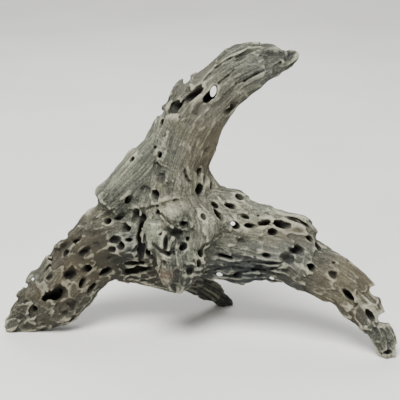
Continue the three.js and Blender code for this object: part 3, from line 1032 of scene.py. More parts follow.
@dataclass(frozen=True)
class WeatheredWood(Finish):
    """Bare root wood, bleached by sun and water and bored by shipworm.

    The eye sees dry grey-green wood with fine fibres along the grain, paler on worn crests, tan and
    bluish where it weathered less, and bores that go from brown to nearly black. The black in the
    bores, the dark in the gullies and on the undersides, and part of the dark at the spur's back
    are painted shade, and the brow's lobes carry painted highlights. It has no gloss.
    """

    shades: tuple[str, ...] = ("#252723", "#40413a", "#5c5d52", "#787967", "#979884")
    shade_places: tuple[float, ...] = (0.12, 0.34, 0.52, 0.68, 0.88)
    tone_range: tuple[float, float] = (-1.41, -0.63)
    patterns: tuple[Pattern, ...] = (
        Pattern("fibre", True, 60.0, 2.2, 4.0, 0.72, 1.15),
        Pattern("streak", True, 90.0, 6.0, 3.0, 0.55, 0.4),
        Pattern("fleck", False, 2.4, 2.4, 4.0, 0.7, 0.95),
        Pattern("cloud", False, 34.0, 34.0, 3.0, 0.5, 0.25),
    )
    layers: tuple[Layer, ...] = (
        Layer("crest", 0.4, 0.95, 0.62, "fleck", 0.3, 0.6, 0.45, 1.0, "#cfccb2"),
        Layer("rim", 0.4, 1.0, 0.22, "fleck", 0.3, 0.6, 0.45, 1.0, "#cfccb2"),
        Layer("tan", 0.0, 1.0, 0.7, "cloud", 0.35, 0.65, 0.6, 1.0, "#7a6a4c"),
        Layer("blue", 0.0, 1.0, 0.6, "cloud", 0.35, 0.65, 0.6, 1.0, "#525c61"),
        # The wood's own dark patches, and the spur's back, whose dark is partly painted shade.
        Layer("dark", 0.0, 1.0, 1.0, "fibre", 0.3, 0.7, 1.0, 0.7, "#20211f"),
        Layer("red", 0.0, 1.0, 1.0, "fleck", 0.4, 0.6, 0.3, 1.0, "#7c4a38"),
        # Painted shade: gullies and hollows, where the crest is below zero, are darkened.
        Layer("crest", -0.15, -0.9, 0.62, "fibre", 0.3, 0.7, 1.0, 0.85, "#20211f"),
        # Painted shade: corners deep in the bores are painted nearly black.
        Layer("depth", 0.1, 0.65, 0.9, "fleck", 0.3, 0.7, 1.0, 0.9, "#0f1114"),
        Layer("brown", 0.0, 1.0, 0.9, "fleck", 0.3, 0.7, 0.8, 1.0, "#2a221b"),
    )
    grain_relief: float = 0.6
    fleck_relief: float = 0.4
    relief_mm: float = 2.0
    roughness: float = 0.86
    specular: float = 0.25

    def material(self) -> bpy.types.Material:
        """Make the wood's material.

        Returns:
            A material that reads the piece's grain, wear, tint and mark attributes.
        """
        material, add = self.blank("weathered_wood")
        grain = add("ShaderNodeAttribute", attribute_name="grain").outputs["Vector"]
        place = add("ShaderNodeTexCoord").outputs["Object"]
        masks = {}
        for name, parts in MASKS.items():
            vector = add("ShaderNodeAttribute", attribute_name=name).outputs["Vector"]
            masks.update(zip(parts, add("ShaderNodeSeparateXYZ", {0: vector}).outputs))

        # This level, with its painted shade and highlights, picks the colour from the ramp of
        # shades.
        level = add("ShaderNodeMapRange", {
            "Value": masks["tone"], "To Min": self.tone_range[0], "To Max": self.tone_range[1]})
        noises = {}
        for pattern in self.patterns:
            unit = 1.0 if pattern.follows_grain else 1 / MILLIMETRE
            scale = (unit / pattern.long, unit / pattern.wide, unit / pattern.wide)
            vector = add("ShaderNodeMapping", {
                "Vector": grain if pattern.follows_grain else place, "Scale": scale})
            noises[pattern.name] = add("ShaderNodeTexNoise", {
                "Vector": vector, "Scale": 1.0, "Detail": pattern.detail,
                "Roughness": pattern.roughness})
            level = add("ShaderNodeMath", {
                0: noises[pattern.name], 1: pattern.share, 2: level}, operation="MULTIPLY_ADD")

        stops = [(p, self.linear(c)) for p, c in zip(self.shade_places, self.shades)]
        colour = add("ShaderNodeValToRGB", {0: level}, stops=stops)
        for layer in self.layers:
            part = add("ShaderNodeMapRange", {
                "Value": masks[layer.mask], "From Min": layer.low, "From Max": layer.high,
                "To Max": layer.most})
            mottle = add("ShaderNodeMapRange", {
                "Value": noises[layer.pattern], "From Min": layer.begin, "From Max": layer.end,
                "To Min": layer.least, "To Max": layer.full})
            shown = add("ShaderNodeMath", {0: part, 1: mottle}, operation="MULTIPLY")
            colour = add("ShaderNodeMix", {0: shown, 6: colour, 7: self.linear(layer.colour)},
                         data_type="RGBA")

        relief = add("ShaderNodeMath", {0: noises["fleck"], 1: self.fleck_relief},
                     operation="MULTIPLY")
        relief = add("ShaderNodeMath", {0: noises["fibre"], 1: self.grain_relief, 2: relief},
                     operation="MULTIPLY_ADD")
        bump = add("ShaderNodeBump", {
            "Height": relief, "Strength": 1.0, "Distance": self.relief_mm * MILLIMETRE})
        shader = add("ShaderNodeBsdfPrincipled", {
            "Base Color": colour, "Normal": bump, "Roughness": self.roughness,
            "Specular IOR Level": self.specular})
        add("ShaderNodeOutputMaterial", {0: shader})
        return material


@dataclass(frozen=True)
class PaperSweep(Finish):
    """Seamless studio background paper: matt, nearly white, with a faint unevenness."""

    light: str = "#f3f2ef"
    shade: str = "#ecebe7"
    patch_mm: float = 300.0
    patch_range: tuple[float, float] = (0.3, 0.7)
    roughness: float = 0.8
    specular: float = 0.2

    def material(self) -> bpy.types.Material:
        """Make the floor's material.

        Returns:
            A matt material whose two whites drift into each other.
        """
        material, add = self.blank("paper_sweep")
        place = add("ShaderNodeTexCoord").outputs["Object"]
        patch = add("ShaderNodeTexNoise", {
            "Vector": place, "Scale": 1 / (self.patch_mm * MILLIMETRE), "Detail": 2.0})
        stops = list(zip(self.patch_range, (self.linear(self.shade), self.linear(self.light))))
        colour = add("ShaderNodeValToRGB", {0: patch}, stops=stops)
        shader = add("ShaderNodeBsdfPrincipled", {
            "Base Color": colour, "Roughness": self.roughness, "Specular IOR Level": self.specular})
        add("ShaderNodeOutputMaterial", {0: shader})
        return material


@dataclass
class Driftwood:
    """The piece: its sizes, its distance field, its mesh and its attributes.

    Sizes are in millimetres. Gully, scallop, pit, plate and the two splinter sizes are how long
    each kind of relief is along the grain, and how wide across it. A row of crest_scales is how
    many cells the blur reaches, the height that is a full crest, and its share.
    """

    name: str = "weathered_driftwood"
    limbs: tuple[Limb, ...] = LIMBS
    lowest: tuple[float, float, float] = (-264.0, -104.0, -4.0)
    size: tuple[float, float, float] = (528.0, 208.0, 402.0)
    cell: float = 1.4
    coarse: int = 4
    shell: float = 12.0
    joint_melt: float = 14.0
    blend_width: float = 5.0
    most_triangles: int = 195000
    gully: tuple[float, float, float] = (45, 13, 13)
    scallop: tuple[float, float, float] = (25, 17, 17)
    pit: tuple[float, float, float] = (12, 9, 9)
    plate: tuple[float, float, float] = (34, 13, 13)
    splinter: tuple[float, float, float] = (110, 3.6, 3.6)
    fine_splinter: tuple[float, float, float] = (60, 2.2, 2.2)
    gully_height: float = 1.3
    pit_share: float = 0.33
    rim_share: float = 0.18
    rim_width: float = 0.1
    plate_lean: float = 1.3
    lump_height: float = 2.2
    lump_width: float = 30
    patch_width: float = 52
    warp: float = 3.0
    warp_width: float = 15
    rib_spacing: float = 9.5
    ring_spacing: float = 6.5
    ring_centre: tuple[float, float] = (-60, 4)
    relief_range: tuple[float, float] = (-7, 6.5)
    bore_lean: float = 0.8
    shallow: float = 7.0
    flare: float = 0.14
    flare_depth: float = 2.5
    mouth_height: float = 8.0
    crack_rim: float = 0.8
    crack_reach: float = 16.0
    fold_reach: float = 22.0
    chip_melt: float = 4.0
    bite_rim: float = 3.0
    chip_warp: float = 1.8
    # How deep in a bore its painted shade becomes full.
    dark_depth: float = 24.0
    crest_scales: tuple[tuple[int, float, float], ...] = ((2, 0.9, 0.6), (5, 2.2, 0.4))
    finish: WeatheredWood = field(default_factory=WeatheredWood)

    def swell(self, points: np.ndarray) -> np.ndarray:
        """The height that all the swellings add."""
        return sum(swelling.height_at(points) for swelling in SWELLINGS.values())

    @staticmethod
    def waves(height: np.ndarray) -> np.ndarray:
        """Sharp-crested waves from -1 to 1, one to a unit of height."""
        return np.abs(height % 1 - 0.5) * 4 - 1

    def roughness(self, limb: Limb, at: Located, points: np.ndarray) -> tuple[np.ndarray, ...]:
        """The rough height of the skin.

        Gullies are noise folded so that its crests are sharp. Scallops and pits are worn hollows
        between sharp rims: the squared distance to the nearest of scattered seeds. Plates are loose
        flakes: each has its own height and leans along the grain, so that its edge stands over the
        next. Splinters are fine noise that runs on along the grain. Ribs are waves across the
        laminated wood under the right leg, and rings the same round a place on the trunk.

        Args:
            limb: The limb.
            at: Where the points lie on it.
            points: The points.

        Returns:
            The height in millimetres, and how near each point is to a rim, from 0 to 1.
        """
        local = np.stack((at.along, at.side, at.front), axis=1)
        seed = Seed.LIMB + 20 * int(10 * limb.phase)
        lumps = layered(points / self.lump_width, 2, Seed.LUMPS)
        warp = self.warp * layered(points / self.warp_width, 2, Seed.WARP)[:, None]
        gully = 1 - 2 * np.abs(layered((local + warp) / self.gully, 3, seed))
        scallop = cells((local + warp) / self.scallop, seed + 5)
        pit = cells((local - warp) / self.pit, seed + 6)
        plate = cells((local + 1.6 * warp) / self.plate, seed + 7)
        splinter = noise(local / self.splinter, seed + 15)
        splinter += 0.6 * noise(local / self.fine_splinter, seed + 16)
        across, up = VIEW.project(points)
        front = before(points, 30, 10)
        ragged = 1 + front * spots(across, up, *RAGGED_SPOTS)
        smooth = np.clip(1 - front * spots(across, up, *SMOOTH_SPOTS), 0.1, 1)
        patch = np.clip(0.75 + 0.9 * layered(points / self.patch_width, 2, Seed.PATCH), 0.2, 1.4)
        slanted = points[:, 2] + 5 * lumps + 0.05 * points[:, 0]
        rib = self.waves(slanted / self.rib_spacing)
        away = np.hypot(across - self.ring_centre[0], 1.2 * (up - self.ring_centre[1]))
        ring = self.waves((away + 7 * lumps) / self.ring_spacing)
        rim = np.exp(-(((scallop.second - scallop.first) / self.rim_width) ** 2)) * patch
        rough = (
            limb.scallop * patch * (scallop.first**2 - 0.3)
            + self.pit_share * limb.scallop * (pit.first**2 - 0.3) * patch
            + self.rim_share * limb.scallop * rim
            + limb.plate * ragged * ((plate.number - 0.5) + self.plate_lean * plate.lean)
            + self.gully_height * gully - 0.8
        )
        height = (
            smooth * rough + self.lump_height * lumps + limb.splinter * splinter
            + spots(across, up, RIB_SPOT) * rib + spots(across, up, RING_SPOT) * ring
        )
        return np.clip(height, *self.relief_range), rim * smooth

    def base(self) -> Field:
        """The distance to the five limbs, melted together, with their rough skin.

        The limbs are worked out on a coarse grid first. Only grid points near the skin are worked
        out again on the fine grid, where the rough height of the limbs that are near is blended by
        exp(-d / blend_width), d the distance past the nearest limb.

        Returns:
            The distance on the fine grid.
        """
        wide_cell = self.cell * self.coarse
        shape = [int(math.ceil(length / wide_cell)) + 1 for length in self.size]
        rough = Field(np.array(self.lowest), wide_cell, np.zeros(shape, np.float32))
        points = rough.places(np.arange(rough.values.size))
        per_limb = [limb.distance(limb.locate(points)) for limb in self.limbs]
        joined = per_limb[0]
        for distance in per_limb[1:]:
            joined = melt(joined, distance, self.joint_melt)
        rough.values = (joined - self.swell(points)).reshape(shape)
        fine = rough.finer(self.coarse)

        near = np.flatnonzero(np.abs(fine.values.ravel()) < self.shell)
        points = fine.places(near)
        LOG.info("%d of %d grid points are near the skin", len(near), fine.values.size)
        steps = np.rint((points - rough.lowest) / wide_cell).astype(int)
        homes = np.ravel_multi_index(steps.T, shape)
        joined = np.full(len(points), FAR, np.float32)
        nearest = joined.copy()
        found = []
        for limb, coarse_distance in zip(self.limbs, per_limb):
            chosen = np.flatnonzero(coarse_distance[homes] < 3 * self.shell)
            at = limb.locate(points[chosen])
            distance = limb.distance(at)
            joined[chosen] = melt(joined[chosen], distance, self.joint_melt)
            nearest[chosen] = np.minimum(nearest[chosen], distance)
            found.append((limb, chosen, at, distance))
        height = np.zeros(len(points), np.float32)
        weights = np.full(len(points), 1e-6, np.float32)
        for limb, chosen, at, distance in found:
            past = distance - nearest[chosen]
            close = np.flatnonzero(past < 3 * self.blend_width)
            rows = chosen[close]
            part = Located(*(getattr(at, name)[close] for name in Located.__annotations__))
            weight = np.exp(-past[close] / self.blend_width)
            height[rows] += weight * self.roughness(limb, part, points[rows])[0]
            weights[rows] += weight
        joined -= self.swell(points) + height / weights
        fine.values.ravel()[near] = joined
        return fine

    def limb_at(self, point: np.ndarray) -> tuple[Limb, int]:
        """The limb that a point belongs to, by distance over size, and its nearest station."""
        best = (math.inf, self.limbs[0], 0)
        for limb in self.limbs:
            away = np.linalg.norm(limb.centre - point, axis=1)
            i = int(np.argmin(away))
            share = away[i] / math.hypot(limb.wide[i], limb.deep[i])
            if share < best[0]:
                best = (share, limb, i)
        return best[1], best[2]

    def hollow(self, wood: Field, mouth: Mouth) -> None:
        """Carve one hollow.

        With l and w the distances along and across the mouth over half its long and short side, and
        t the depth over the whole depth, its wall is where l^2 + w^2 + t^4 = 1. A window has no t.
        The mouth flares by a seventh, and two noises, 9 mm and 4 mm wide, bend the wall. A bore
        leans up or down the grain, as a worm that turned to follow it leaves it.

        Args:
            wood: The field to carve.
            mouth: The hollow's mouth.
        """
        kind, place, inward = mouth.kind, mouth.place, mouth.inward
        long, wide, deep, turn = (*mouth.size, 0)[:4]
        through = kind is Hollow.WINDOW
        if kind is Hollow.BORE and deep > self.shallow:
            lean = self.bore_lean * math.sin(1.7 * place[0] + 2.9 * place[2])
            inward = inward + lean * mouth.grain
            inward = inward / np.linalg.norm(inward)
            long *= 1 / math.hypot(1, 0.7 * lean)
        lengthwise = mouth.grain - inward * (mouth.grain @ inward)
        lengthwise /= np.linalg.norm(lengthwise)
        sideways = np.cross(inward, lengthwise)
        turned = math.radians(-turn)
        lengthwise, sideways = (
            lengthwise * math.cos(turned) + sideways * math.sin(turned),
            sideways * math.cos(turned) - lengthwise * math.sin(turned),
        )
        if through:
            block, points = wood.window(place + 0.5 * deep * inward, 0.5 * deep + 8)
        else:
            block, points = wood.window(place, max(deep, 0.7 * long) + 6)
        offset = points - place
        bend = min(kind.most_bend, kind.bend_share * wide)
        for axis in range(3):
            offset[:, axis] += bend * noise(points / 9, Seed.BENT_WALL + axis)
            offset[:, axis] += 0.4 * bend * noise(points / 4, Seed.ROUGH_WALL + axis)
        t = offset @ inward
        flare = 1 + self.flare * np.exp(-np.maximum(t + 2, 0) / self.flare_depth)
        l = offset @ lengthwise / (0.5 * long * flare)
        w = offset @ sideways / (0.5 * wide * flare)
        floor = 0 if through else (np.maximum(t, 0) / deep) ** 4
        reach = np.sqrt(l**2 + w**2 + floor)
        tool = (reach - 1) * 0.5 * wide
        if kind is Hollow.BASIN:
            tool = np.maximum(tool, (reach - 1) * deep)
        self.cut(wood, block, np.maximum(tool, -self.mouth_height - t), kind.rim)

    @staticmethod
    def cut(wood: Field, block: tuple[slice, ...], tool: np.ndarray, rim: float) -> None:
        """Carve a tool's shape, given at a block's places, out of the wood."""
        part = wood.values[block]
        wood.values[block] = carve(part, tool.reshape(part.shape).astype(np.float32), rim)

    def front_mouths(self, skin: Field, *tables: tuple[Hollow, dict]) -> Iterator[Mouth]:
        """Find the mouths of the hollows that the front shows, on lines of sight.

        Args:
            skin: The field before these hollows.
            *tables: Kinds of hollow, each with its rows.

        Yields:
            Each mouth. A window runs along the line of sight, and any other hollow halfway between
            that and the middle of the limb.
        """
        for kind, table in tables:
            for name, (across, up, *size) in table.items():
                place = skin.seen(across, up)
                if place is None:
                    LOG.warning("%s misses the wood", name)
                    continue
                limb, i = self.limb_at(place)
                inward = sight = VIEW.sight(across, up)
                if kind is not Hollow.WINDOW:
                    inward = limb.centre[i] - place
                    inward = inward / np.linalg.norm(inward) + sight
                    inward /= np.linalg.norm(inward)
                yield Mouth(place, inward, limb.forward[i], size, kind)

    def back_mouths(self, skin: Field) -> Iterator[Mouth]:
        """Find the mouths of the bores and small pits on the sides that the front doesn't show."""
        for table in BACK:
            count = 0
            for limb in self.limbs:
                number = table.counts.get(limb.name, 0)
                for k in range(number):
                    count += 1
                    run = 0.1 + 0.8 * (k + 0.5) / number
                    i = limb.station_at(run * limb.along[-1])
                    turn = table.spread * ((count * table.angle_step) % 1 - 0.5)
                    angle = math.radians(table.around + turn)
                    outward = (limb.side[i] * limb.wide[i] * math.cos(angle)
                               + limb.front[i] * limb.deep[i] * math.sin(angle))
                    inward = -outward / np.linalg.norm(outward)
                    place = skin.meet(limb.centre[i] + 3 * outward, inward, max(self.size))
                    if place is None:
                        continue
                    wide = table.widest - table.size_range * (1 - (count * table.size_step) % 1)
                    size = (table.long_share * wide, wide, table.deep_share * wide)
                    yield Mouth(place, inward, limb.forward[i], size, Hollow.BORE)

    def trench(self, wood: Field, skin: Field, row: tuple[float, ...], folded: bool) -> None:
        """Carve a crack, or fold a round groove or ridge into the skin, along a line in the view.

        A crack's wall is where |x| = half * (1 - depth / deep), x the distance to the side of the
        line. A fold moves the skin in by deep * exp(-x^2 / half^2). Both end in a taper.

        Args:
            wood: The field to carve.
            skin: The field on which the line is laid.
            row: The half width, the depth, and the across and up of each turn.
            folded: Whether it is a fold.
        """
        half, deep, *line = row
        seen = (skin.seen(across, up) for across, up in zip(line[::2], line[1::2]))
        turns = np.array([turn for turn in seen if turn is not None])
        sight = VIEW.sight(line[0], line[1])
        middle = 0.5 * (turns.min(axis=0) + turns.max(axis=0))
        reach = 0.5 * np.ptp(turns, axis=0).max() + self.crack_reach
        block, points = wood.window(middle, reach)
        lengths = np.linalg.norm(np.diff(turns, axis=0), axis=1)
        starts = np.concatenate(((0.0,), np.cumsum(lengths)))
        best = np.full(len(points), FAR)
        depth, run = np.zeros((2, len(points)))
        for a, b, length, start in zip(turns, turns[1:], lengths, starts):
            forward = (b - a) / length
            t = np.clip((points - a) @ forward, 0, length)
            offset = points - a - t[:, None] * forward
            into = offset @ sight
            away = np.linalg.norm(offset - into[:, None] * sight, axis=1)
            closer = away < best
            best = np.where(closer, away, best)
            depth = np.where(closer, into, depth)
            run = np.where(closer, start + t, run)
        best = best + (0.2 if folded else 0.9) * noise(points / 6, Seed.CRACK)
        taper = np.clip(4 * np.minimum(run, starts[-1] - run) / starts[-1] + 0.25, 0, 1)
        if folded:
            near = np.abs(depth) < self.fold_reach
            dent = deep * taper * np.exp(-((best / half) ** 2)) * near
            wood.values[block] += dent.reshape(wood.values[block].shape).astype(np.float32)
            return
        tool = best - half * taper * (1 - np.maximum(depth, 0) / (deep * taper))
        tool = np.where(np.abs(depth) > self.crack_reach, FAR, tool)
        self.cut(wood, block, np.maximum(tool, -self.mouth_height - 1 - depth), self.crack_rim)

    def ovoid(self, wood: Field, row: Ovoid, added: bool) -> None:
        """Set an ellipsoid on or carve it out: (|p / half| - 1) times the smallest half size.

        Args:
            wood: The field to change.
            row: The ellipsoid.
            added: Whether it is set on, with a surface that noise 7 mm wide makes uneven.
        """
        centre = VIEW.place_at(row.across, row.up, row.y)
        block, points = wood.window(centre, max(row.half_across, row.half_up, row.half_into) + 8)
        offset = points - centre
        if added:
            uneven = [layered(points / 7, 2, Seed.CHIP + axis) for axis in range(3)]
            offset = offset + self.chip_warp * np.stack(uneven, axis=1)
        roll = math.radians(row.roll)
        x, y = offset[:, 0], offset @ VIEW.upward
        x, y = x * math.cos(roll) + y * math.sin(roll), y * math.cos(roll) - x * math.sin(roll)
        sizes = (row.half_across, row.half_up, row.half_into)
        parts = [(v / s) ** 2 for v, s in zip((x, y, offset @ VIEW.into), sizes)]
        tool = (np.sqrt(sum(parts)) - 1) * min(sizes)
        if added:
            part = wood.values[block]
            tool = tool.reshape(part.shape).astype(np.float32)
            wood.values[block] = melt(part, tool, self.chip_melt)
        else:
            self.cut(wood, block, tool, self.bite_rim)

    def carved(self) -> tuple[Field, Field]:
        """Work out the wood.

        Returns:
            The carved distance, and the distance to the skin before the bores.
        """
        wood = self.base()
        LOG.info("the limbs are laid on a grid of %s", wood.shape)
        whole = wood.copy()
        for row in CHIPS.values():
            self.ovoid(wood, row, added=True)
        for row in BITES.values():
            self.ovoid(wood, row, added=False)
        for row in FOLDS.values():
            self.trench(wood, whole, row, folded=True)
        for mouth in self.front_mouths(whole, (Hollow.BASIN, BASINS)):
            self.hollow(wood, mouth)
        skin = wood.copy()
        tables = ((Hollow.CAVE, CAVES), (Hollow.BORE, BORES), (Hollow.WINDOW, WINDOWS))
        mouths = [*self.front_mouths(skin, *tables), *self.back_mouths(skin)]
        for mouth in mouths:
            self.hollow(wood, mouth)
        for row in CRACKS.values():
            self.trench(wood, skin, row, folded=False)
        LOG.info("%d hollows and %d cracks are carved", len(mouths), len(CRACKS))
        height = wood.lowest[2] + wood.cell * np.arange(wood.shape[2])
        wood.values = np.maximum(wood.values, -height.astype(np.float32))
        for axis in range(3):
            for end in (0, -1):
                face = [slice(None)] * 3
                face[axis] = end
                wood.values[tuple(face)] = wood.cell
        return wood, skin

    def polygons(self, wood: Field) -> tuple[np.ndarray, np.ndarray]:
        """The surface where the distance is zero, as triangles, without loose scraps.

        Each corner takes the lowest number among its neighbours until none changes, so that every
        scrap has one number. The scrap with the most triangles is the piece.

        Args:
            wood: The carved distance.

        Returns:
            The corners in millimetres, and three corner numbers for each triangle.
        """
        limit = 3 * wood.cell
        grid = openvdb.FloatGrid(limit)
        grid.copyFromArray(np.clip(wood.values, -limit, limit))
        corners, triangles, quads = grid.convertToPolygons(isovalue=0.0, adaptivity=0.0)
        split = np.concatenate((quads[:, (0, 1, 2)], quads[:, (0, 2, 3)], triangles))
        split = split.astype(np.int64)
        corners = wood.lowest + wood.cell * corners.astype(float)
        label = np.arange(len(corners))
        while True:
            lowest = label[split].min(axis=1)
            earlier = label.copy()
            for i in range(3):
                np.minimum.at(label, split[:, i], lowest)
            label = label[label]
            if np.array_equal(earlier, label):
                break
        scraps, sizes = np.unique(label[split[:, 0]], return_counts=True)
        split = split[label[split[:, 0]] == scraps[np.argmax(sizes)]]
        used, numbers = np.unique(split, return_inverse=True)
        split = numbers.reshape(-1, 3)
        corners = corners[used]
        a, b, c = (corners[split[:, i]] for i in range(3))
        if np.einsum("ij,ij->", a, np.cross(b, c)) < 0:
            split = split[:, ::-1]
        return corners, split

    def mesh(self, corners: np.ndarray, triangles: np.ndarray) -> bpy.types.Mesh:
        """Put corners and triangles into a smooth-shaded mesh, in metres in the CAD's frame."""
        mesh = bpy.data.meshes.new(self.name)
        mesh.vertices.add(len(corners))
        mesh.loops.add(3 * len(triangles))
        mesh.polygons.add(len(triangles))
        places = (corners - MIDDLE) * MILLIMETRE
        mesh.vertices.foreach_set("co", places.astype(np.float32).ravel())
        mesh.loops.foreach_set("vertex_index", triangles.astype(np.int32).ravel())
        starts = np.arange(0, 3 * len(triangles), 3, dtype=np.int32)
        mesh.polygons.foreach_set("loop_start", starts)
        mesh.update(calc_edges=True)
        mesh.polygons.foreach_set("use_smooth", np.ones(len(triangles), bool))
        return mesh

    def thinned(self, piece: bpy.types.Object) -> None:
        """Thin the piece's mesh to most_triangles triangles at most, and keep the result."""
        full = piece.data
        modifier = piece.modifiers.new("thin", "DECIMATE")
        modifier.ratio = min(1, self.most_triangles / len(full.polygons))
        graph = bpy.context.evaluated_depsgraph_get()
        piece.data = bpy.data.meshes.new_from_object(piece.evaluated_get(graph))
        piece.modifiers.clear()
        bpy.data.meshes.remove(full)
        piece.data.name = self.name

    def on_limbs(self, points: np.ndarray) -> tuple[np.ndarray, ...]:
        """Find the nearest limb to each point, by the distance to its skin.

        Args:
            points: The points.

        Returns:
            The place along and across the grain, the limb's number, and how near a rim is.
        """
        grain = np.zeros_like(points)
        nearest = np.full(len(points), FAR, np.float32)
        owner = np.zeros(len(points), np.int32)
        rim = np.zeros(len(points), np.float32)
        for number, limb in enumerate(self.limbs):
            at = limb.locate(points)
            distance = limb.distance(at)
            closer = distance < nearest
            local = np.stack((at.along + 400 * number, at.side, at.front), axis=1)
            grain[closer] = local[closer]
            nearest[closer] = distance[closer]
            owner[closer] = number
            rim[closer] = self.roughness(limb, at, points)[1][closer]
        return grain, owner, rim

    def masks(self, points: np.ndarray, normals: np.ndarray, wood: Field,
              skin: Field) -> dict[str, np.ndarray]:
        """Work out what the material reads, from how the wood lies and from soft spots.

        Args:
            points: The corners.
            normals: Their normals.
            wood: The carved distance, whose blur tells crests from gullies.
            skin: The distance before the bores, which tells how deep a corner lies in a bore.

        Returns:
            The grain and each part of MASKS, by name.
        """
        grain, owner, rim = self.on_limbs(points)
        across, up = VIEW.project(points)
        front = before(points, 22, 12)
        # How deep a corner lies in a bore; the material paints deep corners nearly black, a painted
        # shade.
        depth = np.clip(-skin.sample(points) / self.dark_depth, 0, 1)
        # Crest: above zero on ridges, which the material paints paler as worn, and below zero in
        # gullies and hollows, which it darkens as painted shade.
        limited = Field(wood.lowest, wood.cell, np.clip(wood.values, -8, 8))
        crest = sum(share * np.clip(limited.blurred(reach).sample(points) / height, -1, 1)
                    for reach, height, share in self.crest_scales)
        dull = 1 - np.clip(spots(across, up, *DULL_SPOTS), 0, 1) * front
        rim = rim * np.clip(1 - 6 * depth, 0, 1) * dull
        crest = np.where(crest > 0, crest * dull, crest)

        # Random lightness, darker where the corners face down, which is painted shade, and changed
        # in soft spots, some of which are painted shade and painted highlights.
        under = np.clip(-normals[:, 2] - 0.1, 0, 1)
        tone = 0.62 + 0.16 * layered(points / 55, 2, Seed.TONE) - 0.45 * under
        tone += spots(across, up, *TONE_AND_SHADE_SPOTS) * front
        names = [limb.name for limb in self.limbs]
        spur = (owner == names.index("spur")).astype(np.float32)
        # The spur is darker the farther back it lies, partly its own dark colour and partly painted
        # shade; the noise below adds the wood's own dark patches.
        dark = 0.78 * spur * np.clip((points[:, 1] - 20) / 20, 0, 1)
        dark += 0.5 * np.clip(layered(points / 38, 2, Seed.DARK) - 0.25, 0, 1)
        brown = np.clip(0.4 + 0.9 * layered(points / 30, 2, Seed.BROWN), 0, 1)
        brown *= np.clip((depth - 0.1) / 0.55, 0, 1)
        red = spots(across, up, RED_SPOT) * front
        values = {"grain": grain, "depth": depth, "crest": crest, "tone": tone, "dark": dark,
                  "red": red, "brown": brown, "rim": rim}
        for name, (table, seed, width, share) in TINTS.items():
            patches = np.clip(layered(points / width, 2, seed), 0, 1)
            values[name] = spots(across, up, *table) * front + share * patches
        return values

    def dress(self, piece: bpy.types.Object, wood: Field, skin: Field) -> None:
        """Give the piece its attributes and its material.

        Args:
            piece: The piece.
            wood: The carved distance.
            skin: The distance before the bores.
        """
        mesh = piece.data
        places, normals = np.empty((2, 3 * len(mesh.vertices)), np.float32)
        mesh.vertices.foreach_get("co", places)
        mesh.vertex_normals.foreach_get("vector", normals)
        points = (places.reshape(-1, 3) / MILLIMETRE + MIDDLE).astype(np.float32)
        values = self.masks(points, normals.reshape(-1, 3), wood, skin)
        table = {"grain": values["grain"]}
        for name, parts in MASKS.items():
            table[name] = np.stack([values[part] for part in parts], axis=1)
        for name, rows in table.items():
            attribute = mesh.attributes.new(name, "FLOAT_VECTOR", "POINT")
            attribute.data.foreach_set("vector", rows.astype(np.float32).ravel())
        mesh.materials.clear()
        mesh.materials.append(self.finish.material())

    def build(self) -> bpy.types.Object:
        """Build the piece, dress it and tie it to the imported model.

        Returns:
            The finished piece.
        """
        wood, skin = self.carved()
        corners, triangles = self.polygons(wood)
        LOG.info("the skin has %d triangles", len(triangles))
        piece = bpy.data.objects.new(self.name, self.mesh(corners, triangles))
        bpy.context.scene.collection.objects.link(piece)
        self.thinned(piece)
        self.dress(piece, wood, skin)
        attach(piece, "root")
        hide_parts("driftwood")
        LOG.info("the piece is built with %d triangles", len(piece.data.polygons))
        return piece


@dataclass(frozen=True)
class Lamp:
    """A square soft light, in metres and watts, that faces a target."""

    name: str
    place: tuple[float, float, float]
    size: float
    watts: float
    target: tuple[float, float, float] = (0.0, 0.0, 0.18)


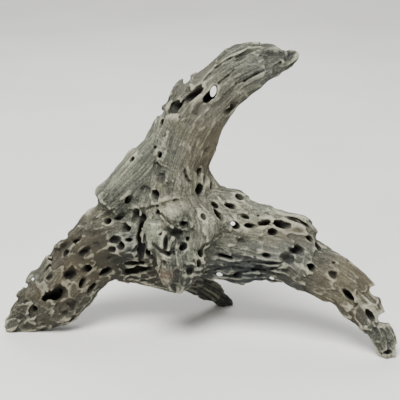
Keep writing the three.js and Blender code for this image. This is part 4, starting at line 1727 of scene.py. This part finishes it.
@dataclass
class Studio:
    """The floor, the soft lights and the camera."""

    floor_side: float = 9.0
    floor_steps: int = 36
    floor_flat: float = 2.6
    floor_rise: float = 0.5
    lamps: tuple[Lamp, ...] = (
        Lamp("key", (-0.35, -1.1, 2.2), 1.1, 104.0),
        Lamp("fill", (1.7, -1.2, 1.0), 1.4, 7.0),
        Lamp("rim", (-0.3, 1.4, 1.6), 1.0, 12.0),
        Lamp("sweep", (0.0, 1.9, 1.9), 2.0, 26.0, (0.0, 2.4, 0.0)),
    )
    world_strength: float = 0.32
    world_colour: str = "#eef1f4"
    sensor: float = 36.0
    finish: PaperSweep = field(default_factory=PaperSweep)

    @staticmethod
    def link(name: str, data: bpy.types.ID) -> bpy.types.Object:
        """Put an object into the scene."""
        thing = bpy.data.objects.new(name, data)
        bpy.context.scene.collection.objects.link(thing)
        return thing

    def floor(self) -> None:
        """Lay the floor: flat, and past floor_flat from the middle it rises by the square."""
        span = np.linspace(-0.5, 0.5, self.floor_steps + 1) * self.floor_side
        x, y = np.meshgrid(span, span, indexing="ij")
        z = self.floor_rise * np.maximum(np.hypot(x, y) - self.floor_flat, 0) ** 2
        corners = np.stack((x, y, z), axis=-1).reshape(-1, 3)
        side = self.floor_steps + 1
        i, j = np.meshgrid(np.arange(side - 1), np.arange(side - 1), indexing="ij")
        low = (i * side + j).ravel()
        quads = np.stack((low, low + side, low + side + 1, low + 1), axis=1)
        mesh = bpy.data.meshes.new("studio_floor")
        mesh.from_pydata(corners.tolist(), [], quads.tolist())
        mesh.polygons.foreach_set("use_smooth", np.ones(len(quads), bool))
        mesh.materials.append(self.finish.material())
        self.link("studio_floor", mesh)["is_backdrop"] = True

    def light(self, lamp: Lamp) -> None:
        """Add a light."""
        data = bpy.data.lights.new(lamp.name, "AREA")
        data.size = lamp.size
        data.energy = lamp.watts
        light = self.link(lamp.name, data)
        light.location = lamp.place
        aim = Vector(lamp.target) - light.location
        light.rotation_euler = aim.to_track_quat("-Z", "Y").to_euler()

    def world(self) -> None:
        """Fill the studio with a weak even light."""
        world = bpy.data.worlds.new("studio")
        world.use_nodes = True
        background = world.node_tree.nodes["Background"]
        background.inputs[0].default_value = Finish.linear(self.world_colour)
        background.inputs[1].default_value = self.world_strength
        bpy.context.scene.world = world

    def camera(self) -> None:
        """Stand the camera where the photograph was taken from, without depth of field."""
        lens = bpy.data.cameras.new("camera")
        lens.sensor_width = lens.sensor_height = self.sensor
        lens.sensor_fit = "HORIZONTAL"
        lens.lens = self.sensor * VIEW.distance / VIEW.frame_width
        camera = self.link("camera", lens)
        right = Vector((1.0, 0.0, 0.0))
        axes = Matrix((right, Vector(VIEW.upward), -Vector(VIEW.into))).transposed()
        place = Matrix.Translation((VIEW.viewer - MIDDLE) * MILLIMETRE)
        camera.matrix_world = place @ axes.to_4x4()
        bpy.context.scene.camera = camera

    def build(self) -> None:
        """Build the studio."""
        self.camera()
        self.floor()
        self.world()
        for lamp in self.lamps:
            self.light(lamp)
        LOG.info("the studio is lit")


def main() -> None:
    """Build the studio and the driftwood, and work out the two boxes."""
    logging.basicConfig(level=logging.INFO, format="%(asctime)s %(name)s: %(message)s")
    Studio().build()
    Driftwood().build()
    boxes = {"cad": CAD_BOUNDS, "visual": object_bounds()}
    {name: np.array(box).tolist() for name, box in boxes.items()}


if __name__ == "__main__":
    main()
